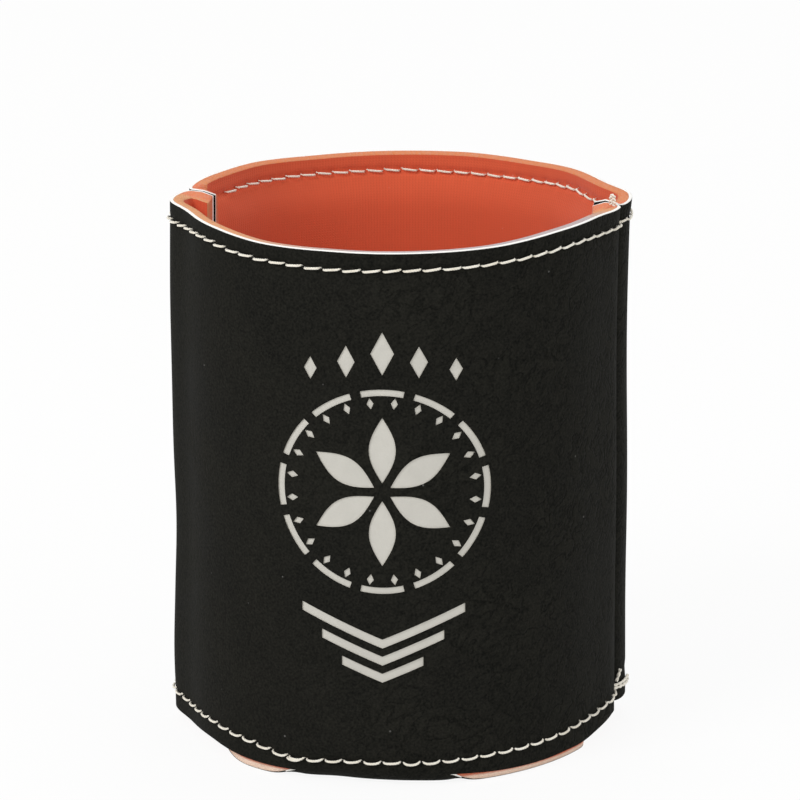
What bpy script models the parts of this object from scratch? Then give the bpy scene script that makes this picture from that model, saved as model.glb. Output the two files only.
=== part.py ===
"""Soft beverage holder: a folded leatherette cover laminated to foam and sewn at two sides.

Units are metres and +Z is up. The front panel faces -Y and the side seams lie at -X and +X.
The origin is on the pocket's axis, in the plane that the base rests on.
"""

import math

import bmesh
import bpy
import numpy as np
from mathutils import Matrix

# Pocket and wall
WALL_RADIUS = 0.0373
OVAL = 0.0008
OVAL_TURN = math.radians(223.5)
RIM_HEIGHT = 0.0953
RIM_LIFT = 0.0009
COVER_PLY = 0.0010
WHOLE_PLY = 0.0044
SEWN_PLY = 0.0029
BETWEEN = 0.0003

# Side seams: a groove outside, and a ridge of turned-in allowance inside
SEAM_TURN = math.radians(3.0)
SEAM_GAP = 0.0003
ALLOWANCE = 0.0040
GROOVE_SINK = -0.0001
LOOSE_REACH = 0.0065
LOOSE_SWELL = 0.0028
TIGHT_REACH = 0.0022
TIGHT_SWELL = 0.0011
SWELL_FADE = 0.0060

# Base, and the necks that join it to the panels. The panels' lower edges press on its border.
PANEL_EDGE = 0.0021
BASE_INSET = 0.0010
BORDER_SLOPE = 0.0004
NECK_WIDTH = 0.0260
NECK_BEND = 0.0062
CURL_REACH = 0.0090
SLIT_WIDTH = 0.0006

# Sewing
THREAD_RADIUS = 0.00028
THREAD_RISE = 0.00022
STITCH_PITCH = 0.0034
STITCH_FROM_EDGE = 0.0031
STITCH_DIP = 0.18
SEAM_THREAD_DEPTH = 0.0012
SEAM_THREAD_RADIUS = 0.00022
KNOT_RADIUS = 0.0007
KNOT_TURNS = 1.25
KNOT_CLIMB = 0.0008

# Engraved ornament on the front panel
ENGRAVING_DEPTH = 0.00025
ORNAMENT_TURN = math.radians(3.1)
ORNAMENT_HEIGHT = 0.0535
RING_RADIUS = 0.0182
RING_WIDTH = 0.0011
RING_DASHES = 12
RING_DASH_TURN = math.radians(24.0)
BEAD_RADIUS = 0.0158
BEAD_SIZE = 0.0020
BEAD_COUNT = 24
PETAL_COUNT = 6
PETAL_START = 0.0016
PETAL_LENGTH = 0.0116
PETAL_WIDTH = 0.0046
CROWN_RISE = 0.0245
CROWN_STEP = 0.0062
CROWN_SIZES = ((0.0040, 0.0076), (0.0030, 0.0056), (0.0022, 0.0040))
CHEVRON_DROP = 0.0205
CHEVRON_STEP = 0.0046
CHEVRON_WIDTHS = (0.0280, 0.0210, 0.0140)
CHEVRON_BAND = 0.0016
CHEVRON_POINT = 0.0060

# Fineness of the curves
ROLL_STEPS = 5
SWELL_STEPS = 9
NECK_STEPS = 8
BEND_STEPS = 5
LIP_STEPS = 2
DISC_STEPS = 18
BETWEEN_STATIONS = 12
TRIM = 0.00002

NECK_TURN = math.asin(NECK_WIDTH / 2 / WALL_RADIUS)
SLIT_TURN = SLIT_WIDTH / WALL_RADIUS
BORDER_RADIUS = WALL_RADIUS - WHOLE_PLY - BETWEEN
BORDER_HEIGHT = PANEL_EDGE - BETWEEN
FRONT = math.radians(270)
BACK = math.radians(90)


def clear_scene():
    for thing in list(bpy.data.objects):
        bpy.data.objects.remove(thing, do_unlink=True)


def make_collection(name):
    group = bpy.data.collections.new(name)
    bpy.context.scene.collection.children.link(group)
    return group


def make_material(name, colour, roughness):
    material = bpy.data.materials.new(name)
    material.use_nodes = True
    shader = material.node_tree.nodes["Principled BSDF"]
    shader.inputs["Base Color"].default_value = (*colour, 1)
    shader.inputs["Roughness"].default_value = roughness
    shader.inputs["Metallic"].default_value = 0
    return material


def add_mesh(name, bm, group, material):
    mesh = bpy.data.meshes.new(name)
    bm.to_mesh(mesh)
    bm.free()
    mesh.materials.append(material)
    thing = bpy.data.objects.new(name, mesh)
    group.objects.link(thing)
    return thing


def at_turn(turn, radius):
    """Plan points at these turns about the pocket's axis."""
    return np.stack([np.cos(turn) * radius, np.sin(turn) * radius], axis=-1)


def oval(turn):
    """How far the pocket's outline departs from a circle at these turns."""
    return OVAL * np.cos(2 * (turn - OVAL_TURN))


def panel_line(middle):
    """A panel's outer face in plan, as a dense line from one allowance's tip to the other's.

    Both panels are cut alike: the corner that each starts from is loose, and the other is tight.
    Beside the line comes how far each point is turned into the seam, from 0 to 1.
    """
    across = math.pi / 2 + (SEAM_TURN if middle == FRONT else -SEAM_TURN)
    groove = WALL_RADIUS - GROOVE_SINK
    half_gap = SEAM_GAP / 2 / groove
    seams = (middle - across + half_gap, middle + across - half_gap)
    crests = (seams[0] + LOOSE_REACH / WALL_RADIUS, seams[1] - TIGHT_REACH / WALL_RADIUS)
    swells = (LOOSE_SWELL, TIGHT_SWELL)

    def shares(steps):
        return np.linspace(0, 1, steps * BETWEEN_STATIONS, endpoint=False)

    def tucked(side, deep):
        return np.full(len(deep), seams[side]), groove - ALLOWANCE * deep, np.ones(len(deep))

    def rolled(side, lean):
        turn = crests[side] + (seams[side] - crests[side]) * np.sin(lean)
        radius = groove + (WALL_RADIUS + swells[side] - groove) * np.cos(lean)
        return turn, radius, np.sin(lean)

    def wall(first, last, steps):
        turn = first + (last - first) * shares(steps)
        away = [(turn - crest) * WALL_RADIUS / SWELL_FADE for crest in crests]
        radius = WALL_RADIUS + sum(size * np.exp(-gone * gone) for size, gone in zip(swells, away))
        return turn, radius, np.zeros(len(turn))

    stretches = (
        tucked(0, 1 - shares(1)),
        rolled(0, math.pi / 2 * (1 - shares(ROLL_STEPS))),
        wall(crests[0], middle - NECK_TURN, SWELL_STEPS),
        wall(middle - NECK_TURN, middle + NECK_TURN, NECK_STEPS),
        wall(middle + NECK_TURN, crests[1], SWELL_STEPS),
        rolled(1, math.pi / 2 * shares(ROLL_STEPS)),
        tucked(1, np.append(shares(1), 1)),
    )
    turn, radius, sewn = (np.concatenate(values) for values in zip(*stretches))
    return at_turn(turn, radius + oval(turn)), sewn


def neck_columns():
    first = 1 + ROLL_STEPS + SWELL_STEPS
    return first, first + NECK_STEPS


def inset(line, depths):
    """Move the line inward, and gather the points that would cross over into one crease."""
    step = np.gradient(line, axis=0)
    inward = np.stack([-step[:, 1], step[:, 0]], axis=1)
    inward /= np.linalg.norm(step, axis=1)[:, None]
    moved = line + inward * depths[:, None]
    spare = np.linalg.norm(moved[:, None] - line[None], axis=2) - depths[None]
    kept = np.flatnonzero(spare.min(axis=1) > -TRIM)
    before = kept[np.clip(np.searchsorted(kept, np.arange(len(line)), "right") - 1, 0, None)]
    after = kept[np.clip(np.searchsorted(kept, np.arange(len(line))), None, len(kept) - 1)]
    return (moved[before] + moved[after]) / 2


def neck_curl(line):
    """How far each point of a panel's lower edge curls under with the neck, from 0 to 1."""
    first, last = neck_columns()
    neck = line[first * BETWEEN_STATIONS:last * BETWEEN_STATIONS + 1]
    away = np.linalg.norm(line[:, None] - neck[None], axis=2).min(axis=1)
    return np.clip(1 - away / CURL_REACH, 0, 1) ** 2


def rim_height(points):
    """The rim dips at the middle of each panel and rises towards the seams."""
    return RIM_HEIGHT + RIM_LIFT * (points[..., 0] / WALL_RADIUS) ** 2


def blank_corners(depth, sewn_depth):
    """Corners of the folded blank at one depth under its outer face, in the order of blank_faces."""
    corners = []
    first, last = neck_columns()
    leans = [math.pi / 2 * step / BEND_STEPS for step in range(BEND_STEPS + 1)]
    bend = NECK_BEND - depth

    def bent(point, lean):
        radius = np.linalg.norm(point)
        shrunk = point * (radius - bend * (1 - math.cos(lean))) / radius
        return np.array([*shrunk, NECK_BEND - bend * math.sin(lean)])

    for middle in (FRONT, BACK):
        line, sewn = panel_line(middle)
        plan = inset(line, depth + (sewn_depth - depth) * sewn)[::BETWEEN_STATIONS]
        for point, curl in zip(plan, neck_curl(line)[::BETWEEN_STATIONS]):
            corners += [(*point, rim_height(point)), (*point, NECK_BEND)]
            for step in range(1, LIP_STEPS + 1):
                height = NECK_BEND + (PANEL_EDGE - NECK_BEND) * step / LIP_STEPS
                hanging = np.array([*point, height])
                corners.append(tuple(hanging + (bent(point, leans[step]) - hanging) * curl))
        for point in plan[first:last + 1]:
            corners += [tuple(bent(point, lean)) for lean in leans[LIP_STEPS + 1:]]

    border = min(depth, BORDER_HEIGHT)
    for middle in (FRONT, BACK):
        start = middle + NECK_TURN + SLIT_TURN
        for turn in np.linspace(start, start + math.pi - 2 * (NECK_TURN + SLIT_TURN), DISC_STEPS):
            around = oval(turn)
            corners += [
                (*at_turn(turn, BORDER_RADIUS + around - BORDER_SLOPE), depth),
                (*at_turn(turn, BORDER_RADIUS + around), border),
                (*at_turn(turn, WALL_RADIUS + around - BASE_INSET), border),
            ]
    return corners


def blank_faces():
    """Faces of the folded blank's one sheet: two walls, two bent necks and the base with its border."""
    first, last = neck_columns()
    columns, rows = first + last + 1, LIP_STEPS + 2
    bend_rows = BEND_STEPS - LIP_STEPS
    per_panel = columns * rows + (NECK_STEPS + 1) * bend_rows
    faces, base = [], []

    def strip(corner, across, down):
        for column in across:
            for row in down:
                faces.append([
                    corner(column, row + 1), corner(column + 1, row + 1),
                    corner(column + 1, row), corner(column, row),
                ])

    for panel in range(2):
        start = panel * per_panel
        side = 2 * per_panel + panel * DISC_STEPS * 3

        def wall(column, row):
            if row < rows:
                return start + column * rows + row
            return start + columns * rows + (column - first) * bend_rows + row - rows

        def border(column, row):
            return side + column * 3 + 2 - row

        strip(wall, range(columns - 1), range(rows - 1))
        strip(wall, range(first, last), range(rows - 1, rows + bend_rows - 1))
        strip(border, range(DISC_STEPS - 1), range(2))
        base += [wall(column, rows + bend_rows - 1) for column in range(first, last + 1)]
        base += [border(column, 2) for column in range(DISC_STEPS)]
    faces.append(base[::-1])
    return faces


def add_ply(name, outer_depth, inner_depth, sewn_depth, group, material):
    """One closed body between two depths of the folded blank, with its cut edge all round."""
    bm = bmesh.new()
    outer = [bm.verts.new(corner) for corner in blank_corners(outer_depth, outer_depth)]
    inner = [bm.verts.new(corner) for corner in blank_corners(inner_depth, sewn_depth)]
    faces = blank_faces()
    for face in faces:
        bm.faces.new([outer[corner] for corner in face])
        bm.faces.new([inner[corner] for corner in reversed(face)])
    sides = [pair for face in faces for pair in zip(face, [*face[1:], face[0]])]
    for start, end in sides:
        if (end, start) not in sides:
            bm.faces.new([outer[end], outer[start], inner[start], inner[end]])
    loose = [corner for corner in bm.verts if not corner.link_faces]
    bmesh.ops.delete(bm, geom=loose, context="VERTS")
    bmesh.ops.remove_doubles(bm, verts=bm.verts, dist=TRIM / 10)
    bmesh.ops.recalc_face_normals(bm, faces=bm.faces)
    ply = add_mesh(name, bm, group, material)
    ply.data.shade_smooth()
    ply.data.set_sharp_from_angle(angle=math.radians(35))
    return ply


def add_wire(name, points, radius, group, material):
    curve = bpy.data.curves.new(name, "CURVE")
    curve.dimensions = "3D"
    curve.bevel_depth = radius
    curve.bevel_resolution = 0
    curve.use_fill_caps = True
    spline = curve.splines.new("POLY")
    spline.points.add(len(points) - 1)
    for knot, point in zip(spline.points, points):
        knot.co = (*point, 1)
    curve.materials.append(material)
    thing = bpy.data.objects.new(name, curve)
    group.objects.link(thing)
    return thing


def stitched(points, lifts):
    """Points of a sewn thread: it dips at each needle hole and lies proud between two holes."""
    along = np.concatenate([[0], np.cumsum(np.linalg.norm(np.diff(points, axis=0), axis=1))])
    count = max(2, round(along[-1] / STITCH_PITCH))
    shares = [hole + part for hole in range(count) for part in (0, STITCH_DIP, 1 - STITCH_DIP)]
    shares.append(count)
    proud = np.array([0, THREAD_RISE, THREAD_RISE] * count + [0])
    where = np.array(shares) / count * along[-1]
    path = np.stack([np.interp(where, along, points[:, axis]) for axis in range(3)], axis=1)
    lift = np.stack([np.interp(where, along, lifts[:, axis]) for axis in range(3)], axis=1)
    return path + lift * proud[:, None]


def row_path(middle, depth, from_top):
    """The line that a row of stitches follows, kept clear of the seams and of the other panel."""
    line, sewn = panel_line(middle)
    clear = BETWEEN + THREAD_RADIUS
    side = 1 if depth else -1
    deep = depth + side * clear
    plan = inset(line, deep + (SEWN_PLY - depth) * sewn * (depth > 0))
    if from_top:
        height = rim_height(line) - STITCH_FROM_EDGE
    else:
        height = np.full(len(line), PANEL_EDGE + STITCH_FROM_EDGE)
        bend = NECK_BEND - deep
        lean = math.asin((NECK_BEND - PANEL_EDGE - STITCH_FROM_EDGE) / bend)
        drawn_in = bend * (1 - math.cos(lean)) * neck_curl(line)
        plan -= plan * (drawn_in / np.linalg.norm(plan, axis=1))[:, None]
    inward = inset(line, np.full(len(line), THREAD_RADIUS)) - line
    inward /= np.linalg.norm(inward, axis=1)[:, None]
    path = np.column_stack([plan, height])
    lifts = np.column_stack([inward * side, np.zeros(len(line))])
    from_seam = np.abs(plan[:, 1] - np.abs(plan[:, 0]) * math.tan(SEAM_TURN))
    room = LOOSE_REACH if side > 0 else SEAM_GAP / 2 + 2 * clear
    kept = (from_seam > room) & (sewn < 1)
    return path[kept], lifts[kept]


def add_topstitching(group, material):
    for name, middle in (("front", FRONT), ("back", BACK)):
        for edge, from_top in (("top", True), ("bottom", False)):
            needle = stitched(*row_path(middle, 0, from_top))
            add_wire(f"{edge}_thread_{name}", needle, THREAD_RADIUS, group, material)
            bobbin = stitched(*row_path(middle, WHOLE_PLY, from_top))
            add_wire(f"{edge}_bobbin_{name}", bobbin, THREAD_RADIUS, group, material)


def seam_thread_place(seam):
    return at_turn(seam, WALL_RADIUS - GROOVE_SINK - SEAM_THREAD_DEPTH)


def add_seam_threads(group, material):
    """One thread down each seam, bedded between the two plies, and its knot on the right rim."""
    for name, seam in (("left", math.pi - SEAM_TURN), ("right", SEAM_TURN)):
        x, y = seam_thread_place(seam)
        top = float(rim_height(np.array([x, y])))
        points = [(x, y, PANEL_EDGE + SEAM_THREAD_RADIUS), (x, y, top + BETWEEN)]
        if name == "right":
            for step in range(1, round(KNOT_TURNS * 8)):
                turn = step * math.pi / 4
                climb = BETWEEN + SEAM_THREAD_RADIUS + KNOT_CLIMB * step / 8
                across = KNOT_RADIUS * (1 - math.cos(turn))
                points.append((x - across, y + KNOT_RADIUS * math.sin(turn), top + climb))
        add_wire(f"seam_thread_{name}", points, SEAM_THREAD_RADIUS, group, material)


def seam_bed(group):
    """Cutter: the round bed that each seam thread lies in, between the two plies."""
    bm = bmesh.new()
    for seam in (math.pi - SEAM_TURN, SEAM_TURN):
        made = bmesh.ops.create_cone(
            bm, cap_ends=True, segments=8, depth=RIM_HEIGHT * 2,
            radius1=SEAM_THREAD_RADIUS + BETWEEN, radius2=SEAM_THREAD_RADIUS + BETWEEN,
        )
        bmesh.ops.translate(bm, verts=made["verts"], vec=(*seam_thread_place(seam), RIM_HEIGHT / 2))
    return add_cutter("seam_bed", bm, group)


def add_cutter(name, bm, group):
    cutter = add_mesh(name, bm, group, None)
    cutter.hide_render = True
    cutter.display_type = "WIRE"
    return cutter


def subtract(thing, cutter):
    cut = thing.modifiers.new(cutter.name, "BOOLEAN")
    cut.operation = "DIFFERENCE"
    cut.solver = "EXACT"
    cut.object = cutter


def diamond(x, z, width, height, lean=0.0):
    corners = np.array([(-width / 2, 0), (0, -height / 2), (width / 2, 0), (0, height / 2)])
    turned = corners @ np.array([(math.cos(lean), math.sin(lean)), (-math.sin(lean), math.cos(lean))])
    return turned + (x, z)


def petal(turn):
    """A pointed leaf along one spoke of the rosette."""
    along = np.linspace(0, 1, 7)
    half = PETAL_WIDTH / 2 * np.sin(math.pi * along)
    reach = PETAL_START + PETAL_LENGTH * along
    outline = np.concatenate([np.stack([reach, -half], 1), np.stack([reach, half], 1)[-2:0:-1]])
    return outline @ np.array([(math.cos(turn), math.sin(turn)), (-math.sin(turn), math.cos(turn))])


def ring_dash(turn):
    turns = turn + np.linspace(-0.5, 0.5, 5) * RING_DASH_TURN
    outer = at_turn(turns, RING_RADIUS)
    return np.concatenate([outer, at_turn(turns, RING_RADIUS - RING_WIDTH)[::-1]])


def chevron(drop, width):
    half = width / 2
    fall = CHEVRON_POINT * width / CHEVRON_WIDTHS[0]
    return np.array([
        (-half, drop), (0, drop - fall), (half, drop),
        (half, drop - CHEVRON_BAND), (0, drop - fall - CHEVRON_BAND), (-half, drop - CHEVRON_BAND),
    ])


def ornament():
    """Outlines of the engraving, seen from the front: a rosette in a ring, a crown and chevrons."""
    outlines = [petal(math.tau * (spoke + 0.5) / PETAL_COUNT) for spoke in range(PETAL_COUNT)]
    outlines += [ring_dash(math.tau * dash / RING_DASHES) for dash in range(RING_DASHES)]
    for bead in range(BEAD_COUNT):
        turn = math.tau * (bead + 0.5) / BEAD_COUNT
        x, z = at_turn(turn, BEAD_RADIUS)
        outlines.append(diamond(x, z, BEAD_SIZE, BEAD_SIZE * 0.6, turn))
    for place, (width, height) in enumerate(CROWN_SIZES):
        for side in ((0,) if place == 0 else (-1, 1)):
            outlines.append(diamond(side * place * CROWN_STEP, CROWN_RISE - place * CROWN_STEP / 4, width, height))
    for place, width in enumerate(CHEVRON_WIDTHS):
        outlines.append(chevron(-CHEVRON_DROP - place * CHEVRON_STEP, width))
    return outlines


def add_prism(bm, near, far):
    """A prism between two like loops of corners."""
    near = [bm.verts.new(corner) for corner in near]
    far = [bm.verts.new(corner) for corner in far]
    bm.faces.new(near)
    bm.faces.new(far[::-1])
    for place in range(len(near)):
        bm.faces.new([near[place], near[place - 1], far[place - 1], far[place]])


def engraving(group):
    """Cutter: the ornament's outlines as prisms, cut back to the engraving's depth."""
    bm = bmesh.new()
    outside, inside = -WALL_RADIUS * 1.2, -WALL_RADIUS * 0.5
    for outline in ornament():
        loops = [[(x, y, z + ORNAMENT_HEIGHT) for x, z in outline] for y in (outside, inside)]
        add_prism(bm, *loops)
    bmesh.ops.recalc_face_normals(bm, faces=bm.faces)
    bmesh.ops.rotate(bm, verts=bm.verts, matrix=Matrix.Rotation(ORNAMENT_TURN, 3, "Z"))
    prisms = add_cutter("engraving", bm, group)

    bm = bmesh.new()
    line, sewn = panel_line(FRONT)
    floor = inset(line, np.full(len(line), ENGRAVING_DEPTH))[::BETWEEN_STATIONS]
    floor = floor[sewn[::BETWEEN_STATIONS] == 0]
    loops = [[(x, y, z) for x, y in floor] for z in (-RIM_HEIGHT, RIM_HEIGHT * 2)]
    add_prism(bm, *loops)
    bmesh.ops.recalc_face_normals(bm, faces=bm.faces)
    subtract(prisms, add_cutter("engraving_floor", bm, group))
    return prisms


def main():
    clear_scene()
    holder = make_collection("beverage_holder")
    cutters = make_collection("cutters")
    leatherette = make_material("black_leatherette", (0.018, 0.017, 0.015), 0.75)
    foam = make_material("orange_foam", (0.78, 0.22, 0.10), 0.95)
    thread = make_material("cream_thread", (0.85, 0.79, 0.68), 0.6)

    cover = add_ply("leatherette_cover", 0, COVER_PLY, COVER_PLY, holder, leatherette)
    subtract(cover, seam_bed(cutters))
    subtract(cover, engraving(cutters))
    add_ply("foam_lining", COVER_PLY + BETWEEN, WHOLE_PLY, SEWN_PLY, holder, foam)
    add_topstitching(holder, thread)
    add_seam_threads(holder, thread)


main()
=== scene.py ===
"""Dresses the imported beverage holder: its leatherette, foam, stitches, finishes and studio.

Units are metres and +Z is up. The front panel faces -Y and the side seams lie at -X and +X.
"""

import math

import bpy
import numpy as np
from bpy.props import FloatProperty, FloatVectorProperty, IntProperty, PointerProperty
from mathutils import Color, Matrix, Vector


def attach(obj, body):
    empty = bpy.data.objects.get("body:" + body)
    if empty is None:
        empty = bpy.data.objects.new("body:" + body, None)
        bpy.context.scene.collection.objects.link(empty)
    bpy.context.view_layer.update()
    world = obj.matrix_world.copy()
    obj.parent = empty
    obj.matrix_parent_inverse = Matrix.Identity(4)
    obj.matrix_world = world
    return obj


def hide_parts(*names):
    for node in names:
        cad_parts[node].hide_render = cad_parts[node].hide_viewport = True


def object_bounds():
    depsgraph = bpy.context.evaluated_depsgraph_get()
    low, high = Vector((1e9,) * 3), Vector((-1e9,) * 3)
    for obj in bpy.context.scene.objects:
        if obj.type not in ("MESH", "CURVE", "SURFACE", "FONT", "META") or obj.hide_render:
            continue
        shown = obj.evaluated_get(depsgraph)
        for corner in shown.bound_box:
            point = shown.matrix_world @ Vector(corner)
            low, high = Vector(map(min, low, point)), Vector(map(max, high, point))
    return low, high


bl_info = {
    "name": "Leatherette beverage holder",
    "version": (1, 0, 0),
    "blender": (4, 5, 0),
    "location": "3D View > Sidebar > Holder",
    "description": "Dresses a sewn leatherette and foam drink holder round its CAD frame",
    "category": "Object",
}

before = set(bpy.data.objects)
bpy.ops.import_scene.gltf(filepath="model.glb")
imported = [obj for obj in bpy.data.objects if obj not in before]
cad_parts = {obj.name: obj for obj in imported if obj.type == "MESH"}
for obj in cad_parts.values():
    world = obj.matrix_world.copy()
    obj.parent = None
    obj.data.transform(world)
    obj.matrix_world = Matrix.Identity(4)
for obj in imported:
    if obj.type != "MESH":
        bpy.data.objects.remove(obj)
CAD_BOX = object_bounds()

FRONT = math.radians(270)
BACK = math.radians(90)
# Points of a panel's plan line to each column of its mesh
SAMPLES = 4

# Details of the blank, in metres unless said otherwise
GROOVE_OUT = 0.0001  # how far a side seam's groove lies outside the wall's radius
PINCH, PINCH_FADE = 0.9, 0.0070  # share by which the loose corner is pressed thin, and its reach
RAISE_START, RAISE_REACH = 0.00136, 0.00296  # where the right seam's sewn edges begin to rise
DRAWN_REACH = 0.0060  # how far from a seam the lower edge is drawn up
LOOSE_SHARE = 0.37  # share of the loose corner's raise that is left at the seam itself
LOOSE_RISE, LOOSE_FULL, LOOSE_FALL = 0.0080, 0.0090, 0.0060  # its climb, full height and fall
FURROW_WIDTH, DIMPLE_WIDTH = 0.0007, 0.00055
LEAST_BEND = 0.0003  # least radius of a bend on the lining side
BEND_ROWS_UP = (0.0008, 0.0004)  # heights over the bend of the wall's last two rows
NEAR_NECK, AT_NECK = 0.0034, 0.0010  # how far the base's border follows the neck beside it
NECK_SKIN_REACH = 0.0048
BORDER_END, BORDER_STEP = 0.0003, 0.0006  # where the base's pressed border ends, and its step
TUCK_TURNS = (-20, 14, 53, 24)  # the tuck's start, climb, end and fall, in degrees past the seam
GLUE = 0.00003  # between the leatherette and the foam
FOAM_BULGE = 0.00018
FOAM_SLACK, FOAM_SLACK_REACH = 0.30, 0.0070  # share by which the border thins beside a neck
DARK_EDGE = 0.0009  # the base's cut edge is black below this height

# Details of the stitches, in metres
OFF_SURFACE = 0.0002  # the needle holes' line lies this far off the surface
SEAM_ROOM = 0.0052  # the rows on the lining stop this far from a side seam
UNSEWN_HOLES = 3  # needle holes left empty at the loose corner
DOUBLED_FROM_MIDDLE, DOUBLED_DROP = 0.0142, 0.00022  # the doubled stitch at the start of a row
SEAM_THREAD, SEAM_LAY, SEAM_INSIDE = 0.00009, 0.0014, 0.0012  # strand, twist, distance in
SEAM_START, SEAM_END = 0.0030, 0.0022  # over the lower edge and under the rim
KNOT_WIDTH, KNOT_DEPTH, KNOT_LENGTH = 0.00056, 0.00024, 0.0027
KNOT_TURNS, KNOT_BELOW, KNOT_THREAD = 1.45, 0.0013, 0.00017  # it starts this far below the rim
LOOP_START, LOOP_LENGTH, LOOP_HEIGHT = -0.0004, 0.0070, 0.0069  # from the groove, and its height
LOOP_GAP, LOOP_SPREAD, LOOP_THREAD = 0.00027, 0.0003, 0.00016
TAIL_START, TAIL_SHIFT, TAIL_FOOT, TAIL_LENGTH = 0.0009, 0.0008, 0.0079, 0.0021
TAIL_THREAD = 0.00017

# Where the walls lean or swell: turn and its spread in degrees, height, its spread and size in mm
SETTLED = (
    (188, 16, 37, 11, -0.45),
    (188, 16, 13, 7, 0.20),
    (188, 20, 78, 13, 0.19),
    (8, 12, 72, 22, -0.50),
    (8, 12, 24, 14, -0.20),
    (8, 12, 96, 3, 0.35),
)

# How far the rim, the lower edge and the rows of stitches stray along a panel:
# distance from the panel's middle and rise, in mm
RIM_STRAYS = (
    (-64, -0.55), (-60, -0.8), (-57, -0.9), (-50, -0.6), (-41, -0.2), (-30, 0.1), (-19, -0.1),
    (-6, 0.28), (10, 0.2), (24, 0.05), (37, 0.42), (50, 0.15), (55, -0.3), (57.5, -0.55),
    (60, -0.6), (62.5, -0.9),
)
EDGE_STRAYS = (
    (-60, 0.2), (-48, 0.0), (-43, 0.1), (-39, 0.4), (-34, 0.58), (-31, 0.35), (-28, 0.0),
    (-24, -0.25), (-18, -0.42), (-13, -0.3), (15, -0.2), (21, -0.5), (25, -0.68), (28, -0.72),
    (31, -0.75), (35, -0.72), (38, -0.6), (41, -0.5), (45, -0.6), (49, -0.25), (54, 0.2),
    (60, 1.0),
)
# Radius of the bend under the neck at each distance from the panel's middle, in mm
BEND_RADII = (
    (-14, 4.1), (-11, 4.3), (-9.4, 4.8), (-7.7, 5.4), (-6, 5.8), (-2, 5.5), (0, 5.2), (3, 5.0),
    (6, 4.55), (9, 4.2), (10.5, 3.9), (12, 3.6), (15, 3.1),
)
TOP_ROW_STRAYS = (
    (-62, -0.65), (-59, -0.8), (-55, -1.1), (-52, -1.2), (-48, -0.8), (-42, -0.25), (-33, 0.3),
    (-26, 0), (-19, -0.15), (0, -0.05), (6, 0.1), (25, 0.05), (40, 0.17), (44, 0.1), (48, -0.15),
    (53, -0.55), (58, -0.9), (61, -1.35),
)
LOW_ROW_STRAYS = (
    (-60, 0.5), (-50, 0.5), (-45, 0.3), (-38, 0.72), (-32, 0.76), (-27, 0.42), (-22, 0),
    (-18, -0.45), (-13, -1.25), (-8, -0.95), (0, -0.58), (10, -0.82), (17, -0.72), (25, -0.4),
    (37, -0.15), (45, 0.28), (60, 0.58),
)


def length(name, text, default, low=0.0, high=0.2):
    """A length in metres for a property group."""
    return FloatProperty(
        name=name, description=text, default=default, min=low, max=high,
        subtype="DISTANCE", unit="LENGTH", precision=5,
    )


def turn(name, text, degrees):
    return FloatProperty(
        name=name, description=text, default=math.radians(degrees),
        subtype="ANGLE", unit="ROTATION",
    )


def count(name, text, default, high=400):
    return IntProperty(name=name, description=text, default=default, min=1, max=high)


def amount(name, text, default, high=1.0):
    return FloatProperty(name=name, description=text, default=default, min=0.0, max=high)


def colour(name, text, red, green, blue):
    """A colour whose default is given as it looks on screen, from 0 to 255."""
    screen = np.array([red, green, blue]) / 255
    linear = np.where(screen <= 0.04045, screen / 12.92, ((screen + 0.055) / 1.055) ** 2.4)
    return FloatVectorProperty(
        name=name, description=text, default=tuple(float(part) for part in linear),
        min=0.0, max=1.0, size=3, subtype="COLOR",
    )


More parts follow.
